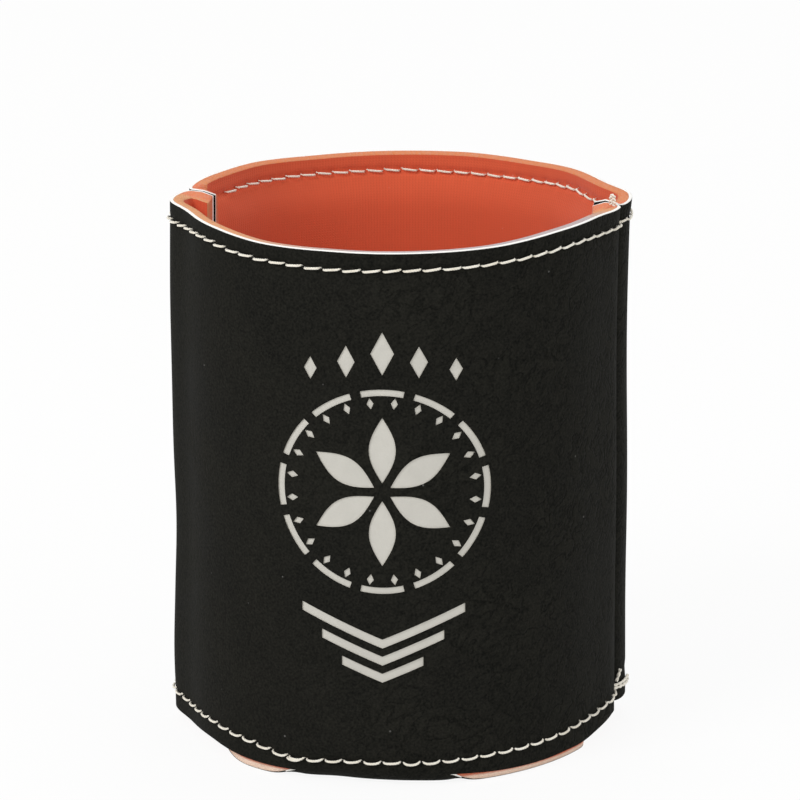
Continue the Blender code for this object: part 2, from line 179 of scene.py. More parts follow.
class BlankSizes(bpy.types.PropertyGroup):
    wall_radius: length("Wall radius", "Outer radius of the pocket's wall", 0.0373)
    oval: length("Oval", "How far the pocket is pressed out of round", 0.0008)
    oval_turn: turn("Oval turn", "Direction in which the pocket is widest", 223.5)
    rim_height: length("Rim height", "Height of the rim at the middle of a panel", 0.0953)
    rim_lift: length("Rim lift", "How much higher the rim is at the seams", 0.0009)
    cover_ply: length("Leatherette", "Thickness of the leatherette", 0.0010)
    whole_ply: length("Wall", "Thickness of leatherette and foam", 0.0044)
    rim_cover: length("Leatherette at rim", "The leatherette's thickness at the rim", 0.0006)
    rim_ply: length("Wall at rim", "The wall's thickness at the rim, pressed by its stitches", 0.0024)
    rim_taper: length("Rim taper", "How far below the rim the wall has its whole thickness", 0.0090)
    rim_round: length("Rim round", "How much lower the rim is on the lining side", 0.00030)
    seam_round: length("Seam round", "The same on the sewn edges, on top of that", 0.00045)
    sewn_cover: length("Sewn leatherette", "The leatherette's thickness in a seam", 0.0005)
    sewn_ply: length("Sewn wall", "The wall's thickness where a seam presses it", 0.0030)
    seam_droop: length("Seam droop", "How much lower the rim is at a sewn edge's inner end", 0.0005)
    seam_raise: length("Seam raise", "How much higher the right seam's sewn edges stand", 0.0009)
    cut_slant: length("Cut slant", "How far the rim's cut face slopes down to the outside", 0.00008)
    cut_bulge: length("Cut bulge", "How far a cut face bulges", 0.00007)
    seam_turn: turn("Seam turn", "How far the side seams lie behind the widest points", 3.0)
    seam_fan: length("Seam fan", "How far each sewn edge opens away from the other", 0.00072)
    seam_gap: length("Seam gap", "Gap between the two panels in a side seam's groove", 0.00003)
    allowance: length("Allowance", "How far the sewn edges reach in from the groove", 0.0040)
    loose_reach: length("Loose reach", "Groove to crest at the corner that swells", 0.0065)
    loose_swell: length("Loose swell", "How far the loose corner stands out", 0.0028)
    tight_reach: length("Tight reach", "Groove to crest at the tight corner", 0.0022)
    tight_swell: length("Tight swell", "How far the tight corner stands out", 0.0011)
    swell_fade: length("Swell fade", "How far the swelling runs along the panel", 0.0060)
    panel_edge: length("Panel edge", "Height of the panels' lower edges", 0.0021)
    corner_raise: length("Corner raise", "How much higher the lower edges are at the seams", 0.0007)
    back_raise: length("Back raise", "How much higher still the back's loose corner is", 0.0032)
    neck_width: length("Neck width", "Width of the necks between panels and base", 0.0260)
    lip_turn: turn("Lip turn", "How far round the bend the slit at a neck's end begins", 25.0)
    slack_lip_turn: turn("Slack lip turn", "The same for the slit at its slack end", 42.0)
    curl_reach: length("Curl reach", "How far beside a neck the lower edge curls under", 0.0090)
    base_inset: length("Base inset", "How far the base's edge lies inside the wall", 0.0010)
    base_tuck: length("Base tuck", "How much further in the base's edge lies at the seams", 0.0030)
    border_height: length("Border height", "Thickness of the pressed border of the base", 0.0018)
    border_skin: length("Border skin", "Leatherette that shows at the base's edge", 0.00003)
    neck_skin: length("Neck skin", "How much more of it shows beside a neck", 0.00036)


class StitchSizes(bpy.types.PropertyGroup):
    pitch: length("Pitch", "Distance from one needle hole to the next", 0.0034)
    from_rim: length("From rim", "Distance of the upper row from the rim", 0.00285)
    from_edge: length("From edge", "Distance of the lower row from the lower edge", 0.0031)
    strand_radius: length("Strand radius", "Radius of one strand of the thread", 0.000118)
    strands: count("Strands", "Strands twisted into one thread", 3, 6)
    lay: length("Lay", "Length of one turn of the twist", 0.0014)
    rise: length("Rise", "How far a stitch lies proud of the surface", 0.00012)
    sink: length("Sink", "How deep a stitch goes into its needle holes", 0.00065)
    slant: length("Slant", "How much an upper stitch climbs from hole to hole", 0.00030)
    sag: length("Sag", "How much a lower stitch hangs between its holes", 0.00030)
    furrow: length("Furrow", "Depth of the furrow that a row presses", 0.00016)
    dimple: length("Dimple", "Depth of the dimple at a needle hole", 0.00030)
    lining_furrow: length("Lining furrow", "Depth of the furrow on the foam side", 0.00050)
    unevenness: amount("Unevenness", "How much the stitches differ from each other", 0.5)


class OrnamentSizes(bpy.types.PropertyGroup):
    depth: length("Depth", "Depth of the engraving", 0.00020)
    turn: turn("Turn", "Direction in which the ornament faces, from the front", 3.1)
    height: length("Height", "Height of the rosette's middle", 0.0535)
    ring_radius: length("Ring radius", "Outer radius of the dashed ring", 0.0182)
    ring_width: length("Ring width", "Width of the dashed ring", 0.0011)
    ring_dashes: count("Ring dashes", "Number of dashes in the ring", 12)
    ring_dash_turn: turn("Dash turn", "Turn that one dash covers", 24.0)
    bead_radius: length("Bead radius", "Radius of the circle of beads", 0.0158)
    bead_size: length("Bead size", "Length of a bead", 0.0020)
    bead_count: count("Beads", "Number of beads", 24)
    petal_count: count("Petals", "Number of petals", 6)
    petal_start: length("Petal start", "Distance of a petal from the middle", 0.0016)
    petal_length: length("Petal length", "Length of a petal", 0.0116)
    petal_width: length("Petal width", "Width of a petal", 0.0046)
    crown_rise: length("Crown rise", "Height of the crown's middle over the rosette's", 0.0245)
    crown_step: length("Crown step", "Distance between the crown's points", 0.0062)
    chevron_drop: length("Chevron drop", "Depth of the first chevron under the middle", 0.0205)
    chevron_step: length("Chevron step", "Distance between the chevrons", 0.0046)
    chevron_band: length("Chevron band", "Width of a chevron's band", 0.0016)
    chevron_point: length("Chevron point", "How far a chevron points down", 0.0060)


class FinishColours(bpy.types.PropertyGroup):
    leatherette: colour("Leatherette", "The leatherette's nap", 9, 10, 8)
    leatherette_light: colour("Rubbed nap", "Where the nap is rubbed the other way", 44, 43, 38)
    core: colour("Core", "The leatherette's pale core at cut edges", 250, 248, 244)
    engraved: colour("Engraving", "The engraved core", 203, 200, 192)
    foam: colour("Foam", "The foam's cut edges", 224, 158, 108)
    foam_back: colour("Foam behind", "The foam's cut edge at the back of the rim", 220, 128, 78)
    foam_low: colour("Foam below", "The foam's cut edge round the base", 255, 228, 208)
    # Painted shade: the grey of the foam's cut edge where it lies in shade at the front right
    foam_shaded: colour("Shaded foam", "The foam's cut edge on the greyer side", 188, 180, 184)
    lining: colour("Lining", "The knit face of the foam", 234, 104, 68)
    thread: colour("Thread", "The sewing thread", 255, 252, 243)
    thread_shade: colour("Thread shade", "The thread between its strands", 206, 190, 160)
    floor: colour("Floor", "The floor", 240, 240, 238)


class StudioSettings(bpy.types.PropertyGroup):
    camera_distance: length("Camera distance", "Camera to the holder's middle", 1.0, 0.1, 5.0)
    camera_height: length("Aim height", "Height of the point that the camera aims at", 0.050)
    camera_rise: turn("Camera rise", "How far the camera looks down", 16.67)
    camera_turn: turn("Camera turn", "How far round to the right the camera stands", 8.0)
    lens: FloatProperty(name="Lens", description="Focal length in mm", default=254.27, min=1)
    shift_x: FloatProperty(name="Shift X", description="Sideways lens shift", default=-0.00106)
    shift_y: FloatProperty(name="Shift Y", description="Upward lens shift", default=0.06215)
    key: amount("Key light", "Power of the key light in watts", 15.0, 1000)
    fill: amount("Fill light", "Power of the fill light in watts", 4.2, 1000)
    top: amount("Top light", "Power of the top light in watts", 6.0, 1000)
    sky: amount("Sky", "Strength of the even light from all sides", 0.55, 10)


# Shape of the blank

def at_turn(angle, radius):
    """Plan points at these turns about the pocket's axis."""
    return np.stack([np.cos(angle) * radius, np.sin(angle) * radius], axis=-1)


def smooth(share):
    share = np.clip(share, 0, 1)
    return share * share * (3 - 2 * share)


def oval(sizes, angle):
    return sizes.oval * np.cos(2 * (angle - sizes.oval_turn))


def settle(points):
    """Lean and swell the walls a little, as they are after shaping by hand."""
    points = np.array(points, float)
    radius = np.linalg.norm(points[..., :2], axis=-1)
    angle = np.degrees(np.arctan2(points[..., 1], points[..., 0]))
    moved = np.zeros(radius.shape)
    for middle, spread, height, reach, size in SETTLED:
        away = (angle - middle + 180) % 360 - 180
        up = points[..., 2] * 1000 - height
        moved += size / 1000 * np.exp(-(away / spread) ** 2 - (up / reach) ** 2)
    points[..., :2] *= (1 + moved / np.maximum(radius, 0.02))[..., None]
    return points


def stray(table, station):
    """A table's value at each distance from the panel's middle, rounded off between its places."""
    places, values = np.array(table).T / 1000
    steps = np.linspace(-0.002, 0.002, 5)
    return sum(np.interp(station + step, places, values) for step in steps) / 5


def inward_of(line):
    """Unit directions square to the line, toward the pocket's axis."""
    step = np.gradient(line, axis=0)
    return np.stack([-step[:, 1], step[:, 0]], axis=1) / np.linalg.norm(step, axis=1)[:, None]


def inset(line, depths):
    """Move the line inward, and gather the points that would cross over into one crease."""
    moved = line + inward_of(line) * depths[:, None]
    spare = np.linalg.norm(moved[:, None] - line[None], axis=2) - depths[None]
    kept = np.flatnonzero(spare.min(axis=1) > -0.00002)
    before = kept[np.clip(np.searchsorted(kept, np.arange(len(line)), "right") - 1, 0, None)]
    after = kept[np.clip(np.searchsorted(kept, np.arange(len(line))), None, len(kept) - 1)]
    return (moved[before] + moved[after]) / 2


class Panel:
    """One wall of the folded blank: its outline in plan, and its columns and rows."""

    ROLL, SWELL, NECK = 8, 56, 32
    DROPS = np.array([0, 1, 3, 6, 10, 15, 19, 22.5, 26, 29, 32, 35, 38.5, 43, 50, 60]) / 10000
    MIDDLE_ROWS, LIP_ROWS, BEND_ROWS = 46, 12, 8

    def __init__(self, sizes, middle):
        self.sizes, self.middle = sizes, middle
        across = math.pi / 2 + (sizes.seam_turn if middle == FRONT else -sizes.seam_turn)
        groove = sizes.wall_radius + GROOVE_OUT
        half_gap = sizes.seam_gap / 2 / groove
        seams = (middle - across + half_gap, middle + across - half_gap)
        crests = (
            seams[0] + sizes.loose_reach / sizes.wall_radius,
            seams[1] - sizes.tight_reach / sizes.wall_radius,
        )
        swells = (sizes.loose_swell, sizes.tight_swell)
        neck = math.asin(sizes.neck_width / 2 / sizes.wall_radius)

        def shares(steps):
            return np.linspace(0, 1, steps * SAMPLES, endpoint=False)

        def tucked(side, deep):
            fan = sizes.seam_fan * deep / groove
            angle = seams[side] + fan * (1 - 2 * side)
            return angle, groove - sizes.allowance * deep, np.ones(len(deep))

        def rolled(side, lean):
            angle = crests[side] + (seams[side] - crests[side]) * np.sin(lean)
            radius = groove + (sizes.wall_radius + swells[side] - groove) * np.cos(lean)
            return angle, radius, np.sin(lean)

        def wall(first, last, steps):
            angle = first + (last - first) * shares(steps)
            away = [(angle - crest) * sizes.wall_radius / sizes.swell_fade for crest in crests]
            radius = sizes.wall_radius + sum(
                size * np.exp(-gone * gone) for size, gone in zip(swells, away)
            )
            return angle, radius, np.zeros(len(angle))

        stretches = (
            tucked(0, 1 - shares(2)),
            rolled(0, math.pi / 2 * (1 - shares(self.ROLL))),
            wall(crests[0], middle - neck, self.SWELL),
            wall(middle - neck, middle + neck, self.NECK),
            wall(middle + neck, crests[1], self.SWELL),
            rolled(1, math.pi / 2 * shares(self.ROLL)),
            tucked(1, np.append(shares(2), 1)),
        )
        angle, radius, self.sewn = (np.concatenate(values) for values in zip(*stretches))
        self.line = at_turn(angle, radius + oval(sizes, angle))
        steps = np.linalg.norm(np.diff(self.line, axis=0), axis=1)
        self.arc = np.concatenate([[0], np.cumsum(steps)])
        self.station = self.arc - self.arc[-1] / 2
        from_start = self.arc - sizes.allowance - sizes.loose_reach / 2
        pinched = PINCH * np.exp(-np.clip(from_start / PINCH_FADE, 0, None) ** 2)
        self.pinched = np.maximum(self.sewn, pinched)
        self.first = 2 + self.ROLL + self.SWELL
        self.last = self.first + self.NECK
        ends = self.line[[self.first * SAMPLES, self.last * SAMPLES]]
        away = np.linalg.norm(self.line[:, None] - ends[None], axis=2).min(axis=1)
        away[self.first * SAMPLES:self.last * SAMPLES] = 0
        self.curl = np.clip(1 - away / sizes.curl_reach, 0, 1) ** 2
        self.bend = stray(BEND_RADII, self.station)
        along = np.clip(self.station / sizes.neck_width + 0.5, 0, 1)
        self.lip = sizes.slack_lip_turn + (sizes.lip_turn - sizes.slack_lip_turn) * along
        self.from_end = np.minimum(self.arc, self.arc[-1] - self.arc)
        self.deep = np.clip(1 - self.from_end / sizes.allowance, 0, 1)

    def rim(self, strays):
        """Height of the rim or of a line along it, which dips at the middle of the panel."""
        lift = self.sizes.rim_lift * (self.line[:, 0] / self.sizes.wall_radius) ** 2
        past_groove = self.sizes.allowance + RAISE_START - self.from_end
        raised = self.sizes.seam_raise * smooth(past_groove / RAISE_REACH) * (self.line[:, 0] > 0)
        droop = self.sizes.seam_droop * self.deep ** 4
        return self.sizes.rim_height + lift + raised - droop + stray(strays, self.station)

    def lower_edge(self, strays):
        """Height of the lower edge or of a line along it, which is drawn up at the seams."""
        from_groove = np.clip(self.from_end - self.sizes.allowance, 0, None)
        raised = self.sizes.corner_raise * np.exp(-from_groove / DRAWN_REACH)
        if self.middle == BACK:
            past = np.clip(self.arc - self.sizes.allowance, 0, None)
            drawn_up = LOOSE_SHARE + (1 - LOOSE_SHARE) * smooth(past / LOOSE_RISE)
            drawn_up *= np.exp(-(np.clip(past - LOOSE_FULL, 0, None) / LOOSE_FALL) ** 2)
            raised = raised + self.sizes.back_raise * drawn_up
        return self.sizes.panel_edge + raised + stray(strays, self.station)

    def row(self, stitches, top):
        """Height of the upper or the lower row of stitches along the panel."""
        if top:
            return self.rim(TOP_ROW_STRAYS) - stitches.from_rim
        return self.lower_edge(LOW_ROW_STRAYS) + stitches.from_edge

    def thinned(self, drop):
        """How far the wall is pressed to its thickness at the rim, this far below it."""
        return 1 - smooth(drop / self.sizes.rim_taper)

    def holes(self, stitches):
        """Distances along the panel's line of the needle holes of a row."""
        number = round((self.arc[-1] - 2 * self.sizes.allowance) / stitches.pitch)
        ends = self.sizes.allowance, self.arc[-1] - self.sizes.allowance
        return np.linspace(*ends, number + 1)

    def pressed(self, stitches, heights, furrow, dimple):
        """How far the two rows of stitches press the surface in, at each station and height."""
        arc = self.arc[::SAMPLES][:, None]
        holes = self.holes(stitches)
        from_hole = np.abs(arc - holes[None]).min(axis=1)[:, None]
        total = 0
        for top in (True, False):
            away = heights - self.row(stitches, top)[::SAMPLES, None]
            total = total + furrow * np.exp(-(away / FURROW_WIDTH) ** 2)
            total = total + dimple * np.exp(-(away ** 2 + from_hole ** 2) / DIMPLE_WIDTH ** 2)
        return total * (1 - self.sewn[::SAMPLES])[:, None]

    def sheet(self, stitches, depth, rim_depth, sewn_depth, furrow, dimple):
        """Points of the panel at one depth: all columns by the wall's rows, and the neck's bend."""
        sizes = self.sizes
        pressed = self.pinched if depth > 2 * sizes.cover_ply else self.sewn
        plan = inset(self.line, depth + (sewn_depth - depth) * pressed)[::SAMPLES]
        rim_plan = inset(self.line, rim_depth + (sewn_depth - rim_depth) * self.sewn)[::SAMPLES]
        bend = np.maximum(self.bend, depth + LEAST_BEND)[::SAMPLES]
        curl = self.curl[::SAMPLES]
        outward = depth < sizes.cover_ply / 2
        rim = self.rim(RIM_STRAYS)[::SAMPLES]
        if outward:
            rim = rim - sizes.cut_slant
        if depth > 2 * sizes.cover_ply:
            rim = rim - sizes.rim_round - sizes.seam_round * self.sewn[::SAMPLES]
        upper = rim[:, None] - self.DROPS
        below, last = (bend[:, None] + up for up in BEND_ROWS_UP)
        shares = np.linspace(0, 1, self.MIDDLE_ROWS + 1)[1:]
        between = upper[:, -1:] + (below - upper[:, -1:]) * shares
        heights = np.concatenate([upper, between, last, bend[:, None]], axis=1)
        wall = np.empty((*heights.shape, 3))
        thin = self.thinned(rim[:, None] - heights)[..., None]
        wall[..., :2] = plan[:, None] + (rim_plan - plan)[:, None] * thin
        wall[..., 2] = heights

        lip = np.linspace(0, 1, self.LIP_ROWS + 1)[1:]
        edge = self.lower_edge(EDGE_STRAYS)[::SAMPLES]
        hanging = np.empty((len(plan), len(lip), 3))
        hanging[..., :2] = plan[:, None]
        hanging[..., 2] = bend[:, None] + (edge - bend)[:, None] * lip
        turned = self.lip[::SAMPLES, None]
        curled = self.bent(plan, bend, depth, turned * lip)
        hanging += (curled - hanging) * curl[:, None, None]
        grid = np.concatenate([wall, hanging], axis=1)

        push = self.pressed(stitches, grid[..., 2], furrow, dimple) * (1 if outward else -1)
        grid[..., :2] += inward_of(self.line)[::SAMPLES, None] * push[..., None]

        neck = slice(self.first, self.last + 1)
        shares = np.linspace(0, 1, self.BEND_ROWS + 1)[1:]
        leans = turned[neck] + (math.pi / 2 - turned[neck]) * shares
        return grid, self.bent(plan[neck], bend[neck], depth, leans)

    def bent(self, plan, bend, depth, leans):
        """Points on the bend under the neck, at each lean from upright."""
        reach = (bend - depth)[:, None]
        radius = np.linalg.norm(plan, axis=1)
        shrunk = (radius[:, None] - reach * (1 - np.cos(leans))) / radius[:, None]
        points = np.empty((*shrunk.shape, 3))
        points[..., :2] = plan[:, None] * shrunk[..., None]
        points[..., 2] = bend[:, None] - reach * np.sin(leans)
        return points


def flat_border(angle, away):
    """The border of the sheet that lies on the floor, all at height 0."""
    return 0 * angle


class Blank:
    """The whole folded blank: two panels, two necks and the base, as sheets at any depth."""

    DISC = 120
    RINGS = (0.985, 0.96, 0.92, 0.86, 0.78, 0.68, 0.56, 0.43, 0.29, 0.15)

    def __init__(self, sizes, stitches):
        self.sizes, self.stitches = sizes, stitches
        self.panels = [Panel(sizes, middle) for middle in (FRONT, BACK)]

    def sheet(self, depth, rim_depth, sewn_depth, border, furrow=0.0, dimple=0.0):
        """All corners at one depth; border gives the base border's height at each turn."""
        corners, ends, profiles = [], [], []
        for panel in self.panels:
            wall, neck = panel.sheet(self.stitches, depth, rim_depth, sewn_depth, furrow, dimple)
            corners += [wall.reshape(-1, 3), neck.reshape(-1, 3)]
            ends.append(neck[:, -1])
            skin_wall, skin_neck = panel.sheet(self.stitches, 0, 0, 0, 0, 0)
            profiles.append([
                [
                    np.vstack([upright[column, -1:], bent[column - panel.first]])
                    for upright, bent in ((wall, neck), (skin_wall, skin_neck))
                ]
                for column in (panel.first, panel.last)
            ])
        sides = []
        for place, middle in enumerate((FRONT, BACK)):
            ends_of_necks = profiles[place][1], profiles[1 - place][0]
            side = self.base_side(middle, depth, border, ends_of_necks)
            sides.append(side[:, -1])
            corners.append(side.reshape(-1, 3))
        loop = np.concatenate([ends[0], sides[0], ends[1], sides[1]])
        for share in self.RINGS:
            ring = loop * (share, share, 1)
            ring[:, 2] = depth
            corners.append(ring)
        corners.append([(0, 0, depth)])
        return settle(np.concatenate(corners))

    def border_skin(self, angle, away):
        """Thickness of the leatherette at the base's edge, which is more beside a neck."""
        beside = np.exp(-(away / NECK_SKIN_REACH) ** 2)
        return self.sizes.border_skin + self.sizes.neck_skin * beside

    def base_side(self, middle, depth, border, profiles):
        """The base's border between two necks, whose profile it meets at both ends."""
        sizes = self.sizes
        half = math.asin(sizes.neck_width / 2 / sizes.wall_radius)
        angle = np.linspace(middle + half, middle + math.pi - half, self.DISC + 2)[1:-1]
        around = sizes.wall_radius + oval(sizes, angle)
        gone = (angle - middle - half) * sizes.wall_radius
        left = (middle + math.pi - half - angle) * sizes.wall_radius
        level = border(angle, np.minimum(gone, left))
        past_seam = np.degrees(angle - middle) - 90
        first, climb, last, fall = TUCK_TURNS
        tucked = smooth((past_seam - first) / climb) * smooth((last - past_seam) / fall)
        outer = around - sizes.base_inset - sizes.base_tuck * tucked
        plateau = around - sizes.whole_ply - BORDER_END
        share = np.linspace(0, 1, Panel.BEND_ROWS)
        radius = outer[:, None] + (plateau - outer)[:, None] * share
        radius = np.column_stack([radius, plateau - BORDER_STEP])
        height = np.repeat(level[:, None], Panel.BEND_ROWS, axis=1)
        height = np.column_stack([height, np.full(self.DISC, depth)])
        for (profile, skin), away in zip(profiles, (gone, left)):
            near = np.exp(-(away / NEAR_NECK) ** 2)[:, None]
            nearest = np.exp(-(away / AT_NECK) ** 2)[:, None]
            reach = np.linalg.norm(skin[:, :2], axis=1)
            drawn = radius + (reach - radius) * near
            risen = height + skin[:, 2] * near
            radius = drawn + (np.linalg.norm(profile[:, :2], axis=1) - drawn) * nearest
            height = risen + (profile[:, 2] - risen) * nearest
        return np.concatenate([at_turn(angle[:, None], radius), height[..., None]], axis=2)

    def places(self):
        """A flat place on the material for each corner of a sheet, in metres."""
        flat = []
        for panel in self.panels:
            wall, neck = panel.sheet(self.stitches, 0, 0, 0, 0, 0)
            arc = panel.arc[::SAMPLES]
            shift = 0 if panel.middle == FRONT else 0.15
            for grid, along in ((wall, arc), (neck, arc[panel.first:panel.last + 1])):
                steps = np.linalg.norm(np.diff(grid, axis=1), axis=2)
                down = np.cumsum(np.pad(steps, ((0, 0), (1, 0))), axis=1)
                start = 0.0 if grid is wall else -0.1
                flat.append(np.stack([
                    np.repeat((along + shift)[:, None], grid.shape[1], 1), start - down,
                ], axis=2).reshape(-1, 2))
        total = sum(len(part) for part in flat)
        whole = self.sheet(0, 0, 0, flat_border)
        return np.concatenate([*flat, whole[total:, :2] + (0.4, 0.1)])

    def faces(self):
        """Faces of one sheet, looking outward."""
        front = self.panels[0]
        columns = len(front.line[::SAMPLES])
        rows = len(Panel.DROPS) + Panel.MIDDLE_ROWS + 2 + Panel.LIP_ROWS
        bends = Panel.BEND_ROWS
        per_panel = columns * rows + (Panel.NECK + 1) * bends
        start = 2 * per_panel + 2 * self.DISC * (bends + 1)
        faces, loop = [], []

        def wall(place, column, row):
            if row < rows:
                return place * per_panel + column * rows + row
            return place * per_panel + columns * rows + (column - front.first) * bends + row - rows

        def side(place, column, row):
            if column < 0:
                return wall(place, front.last, rows - 1 + row)
            if column == self.DISC:
                return wall(1 - place, front.first, rows - 1 + row)
            return 2 * per_panel + (place * self.DISC + column) * (bends + 1) + row

        def strip(corner, place, across, down):
            for column in across:
                for row in down:
                    faces.append((
                        corner(place, column, row + 1), corner(place, column + 1, row + 1),
                        corner(place, column + 1, row), corner(place, column, row),
                    ))

        for place in range(2):
            strip(wall, place, range(columns - 1), range(rows - 1))
            strip(wall, place, range(front.first, front.last), range(rows - 1, rows + bends - 1))
            strip(side, place, range(-1, self.DISC), range(bends))
            necks = range(front.first, front.last + 1)
            loop += [wall(place, column, rows + bends - 1) for column in necks]
            loop += [side(place, column, bends) for column in range(self.DISC)]

        rings = [loop]
        for ring in range(len(self.RINGS)):
            rings.append([start + ring * len(loop) + place for place in range(len(loop))])
        for outer, inner in zip(rings, rings[1:]):
            for place in range(len(loop)):
                following = (place + 1) % len(loop)
                faces.append((outer[place], inner[place], inner[following], outer[following]))
        centre = start + len(self.RINGS) * len(loop)
        for place in range(len(loop)):
            faces.append((rings[-1][place], centre, rings[-1][(place + 1) % len(loop)]))
        return faces


def new_thing(name, corners, faces, materials):
    """A mesh object in the scene."""
    mesh = bpy.data.meshes.new(name)
    mesh.from_pydata([tuple(corner) for corner in corners], [], faces)
    for material in materials:
        mesh.materials.append(material)
    thing = bpy.data.objects.new(name, mesh)
    bpy.context.scene.collection.objects.link(thing)
    return thing


def make_piece(name, corners, faces, materials, slots=None, places=None):
    """A smooth mesh object, with its faces in material slots and its corners at flat places."""
    piece = new_thing(name, corners, faces, materials)
    mesh = piece.data
    if slots is not None:
        mesh.polygons.foreach_set("material_index", slots)
    if places is not None:
        layer = mesh.uv_layers.new(name="cloth")
        owners = np.empty(len(mesh.loops), np.int32)
        mesh.loops.foreach_get("vertex_index", owners)
        layer.data.foreach_set("uv", np.asarray(places)[owners].astype(np.float32).ravel())
    mesh.validate()
    mesh.shade_smooth()
    return piece


def dress(piece, node):
    """Put the piece on the holder's body in place of a CAD node."""
    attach(piece, "root")
    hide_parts(node)


EDGE_ROWS = (0.12, 0.5, 0.88)  # rows of corners on a cut edge, as shares of its depth
SHARP_TURN = math.radians(55)


def laminate(name, outer, inner, faces, places, bulge, materials):
    """A closed sheet between two depths: outer face, inner face and rounded cut edges."""
    size = len(outer)
    sides = dict.fromkeys(side for face in faces for side in zip(face, face[1:] + face[:1]))
    open_sides = [side for side in sides if side[::-1] not in sides]
    rim = sorted({corner for side in open_sides for corner in side})
    rim_set = set(rim)
    neighbours = {corner: [] for corner in rim}
    for start, end in sides:
        if start in rim_set and end not in rim_set:
            neighbours[start].append(end)
        if end in rim_set and start not in rim_set:
            neighbours[end].append(start)
    corners = [outer, inner]
    flat = [places, places]
    order = {corner: place for place, corner in enumerate(rim)}
    middle = (outer + inner) / 2
    outward = np.zeros((len(rim), 3))
    for corner, near in neighbours.items():
        if near:
            direction = middle[corner] - middle[near].mean(axis=0)
            outward[order[corner]] = direction / max(np.linalg.norm(direction), 1e-9)
    for share in EDGE_ROWS:
        edge = outer[rim] + (inner[rim] - outer[rim]) * share
        corners.append(edge + outward * bulge * (4 * share * (1 - share)) ** 0.5)
        flat.append(places[rim])
    all_faces = [tuple(face) for face in faces]
    all_faces += [tuple(size + corner for corner in reversed(face)) for face in faces]
    slots = [0] * len(faces) + [1] * len(faces)

    def across(corner):
        """The corners of the cut edge at one place, from the outer sheet to the inner one."""
        rows = range(len(EDGE_ROWS))
        return [corner, *(2 * size + row * len(rim) + order[corner] for row in rows), size + corner]

    for start, end in open_sides:
        first, second = across(start), across(end)
        for layer in range(len(EDGE_ROWS) + 1):
            all_faces.append((second[layer], first[layer], first[layer + 1], second[layer + 1]))
            slots.append(2)
    piece = make_piece(
        name, np.concatenate(corners), all_faces, materials, slots, np.concatenate(flat)
    )
    piece.data.set_sharp_from_angle(angle=SHARP_TURN)
    return piece


def tubes(paths, radii, sides):
    """Corners and faces of round tubes along these paths, which all have as many points."""
    paths = np.asarray(paths, float)
    number, steps = paths.shape[:2]
    along = np.gradient(paths, axis=1)
    along /= np.maximum(np.linalg.norm(along, axis=2), 1e-12)[..., None]
    radial = paths * (1, 1, 0) + (0, 0, 1e-5)
    across = np.cross(along, radial)
    flat = np.linalg.norm(across, axis=2) < 1e-7
    across[flat] = np.cross(along[flat], (0.3, 0.8, 0.5))
    across /= np.linalg.norm(across, axis=2)[..., None]
    up = np.cross(across, along)
    angle = np.arange(sides) / sides * math.tau
    ring = across[:, :, None] * np.cos(angle)[:, None] + up[:, :, None] * np.sin(angle)[:, None]
    corners = paths[:, :, None] + ring * np.broadcast_to(radii, (number, steps))[..., None, None]
    index = np.arange(number * steps * sides).reshape(number, steps, sides)
    following = np.roll(index, -1, axis=2)
    quads = np.stack([index[:, :-1], following[:, :-1], following[:, 1:], index[:, 1:]], axis=-1)
    faces = [tuple(face) for face in quads.reshape(-1, 4).tolist()]
    faces += [tuple(cap[::-1]) for cap in index[:, 0].tolist()]
    faces += [tuple(cap) for cap in index[:, -1].tolist()]
    return corners.reshape(-1, 3), faces


def twisted(centre, normal, lay, strands, strand_radius):
    """Paths of the strands that twist about each centre line."""
    centre = np.asarray(centre, float)
    along = np.gradient(centre, axis=1)
    along /= np.linalg.norm(along, axis=2)[..., None]
    normal = normal - (normal * along).sum(axis=2)[..., None] * along
    normal /= np.maximum(np.linalg.norm(normal, axis=2), 1e-9)[..., None]
    side = np.cross(along, normal)
    gone = np.linalg.norm(np.diff(centre, axis=1), axis=2)
    gone = np.cumsum(np.pad(gone, ((0, 0), (1, 0))), axis=1)
    reach = strand_radius / math.sin(math.pi / max(strands, 2)) * 0.92
    paths = []
    for strand in range(strands):
        angle = (gone / lay * math.tau + strand / strands * math.tau)[..., None]
        paths.append(centre + (normal * np.cos(angle) + side * np.sin(angle)) * reach)
    return np.concatenate(paths)


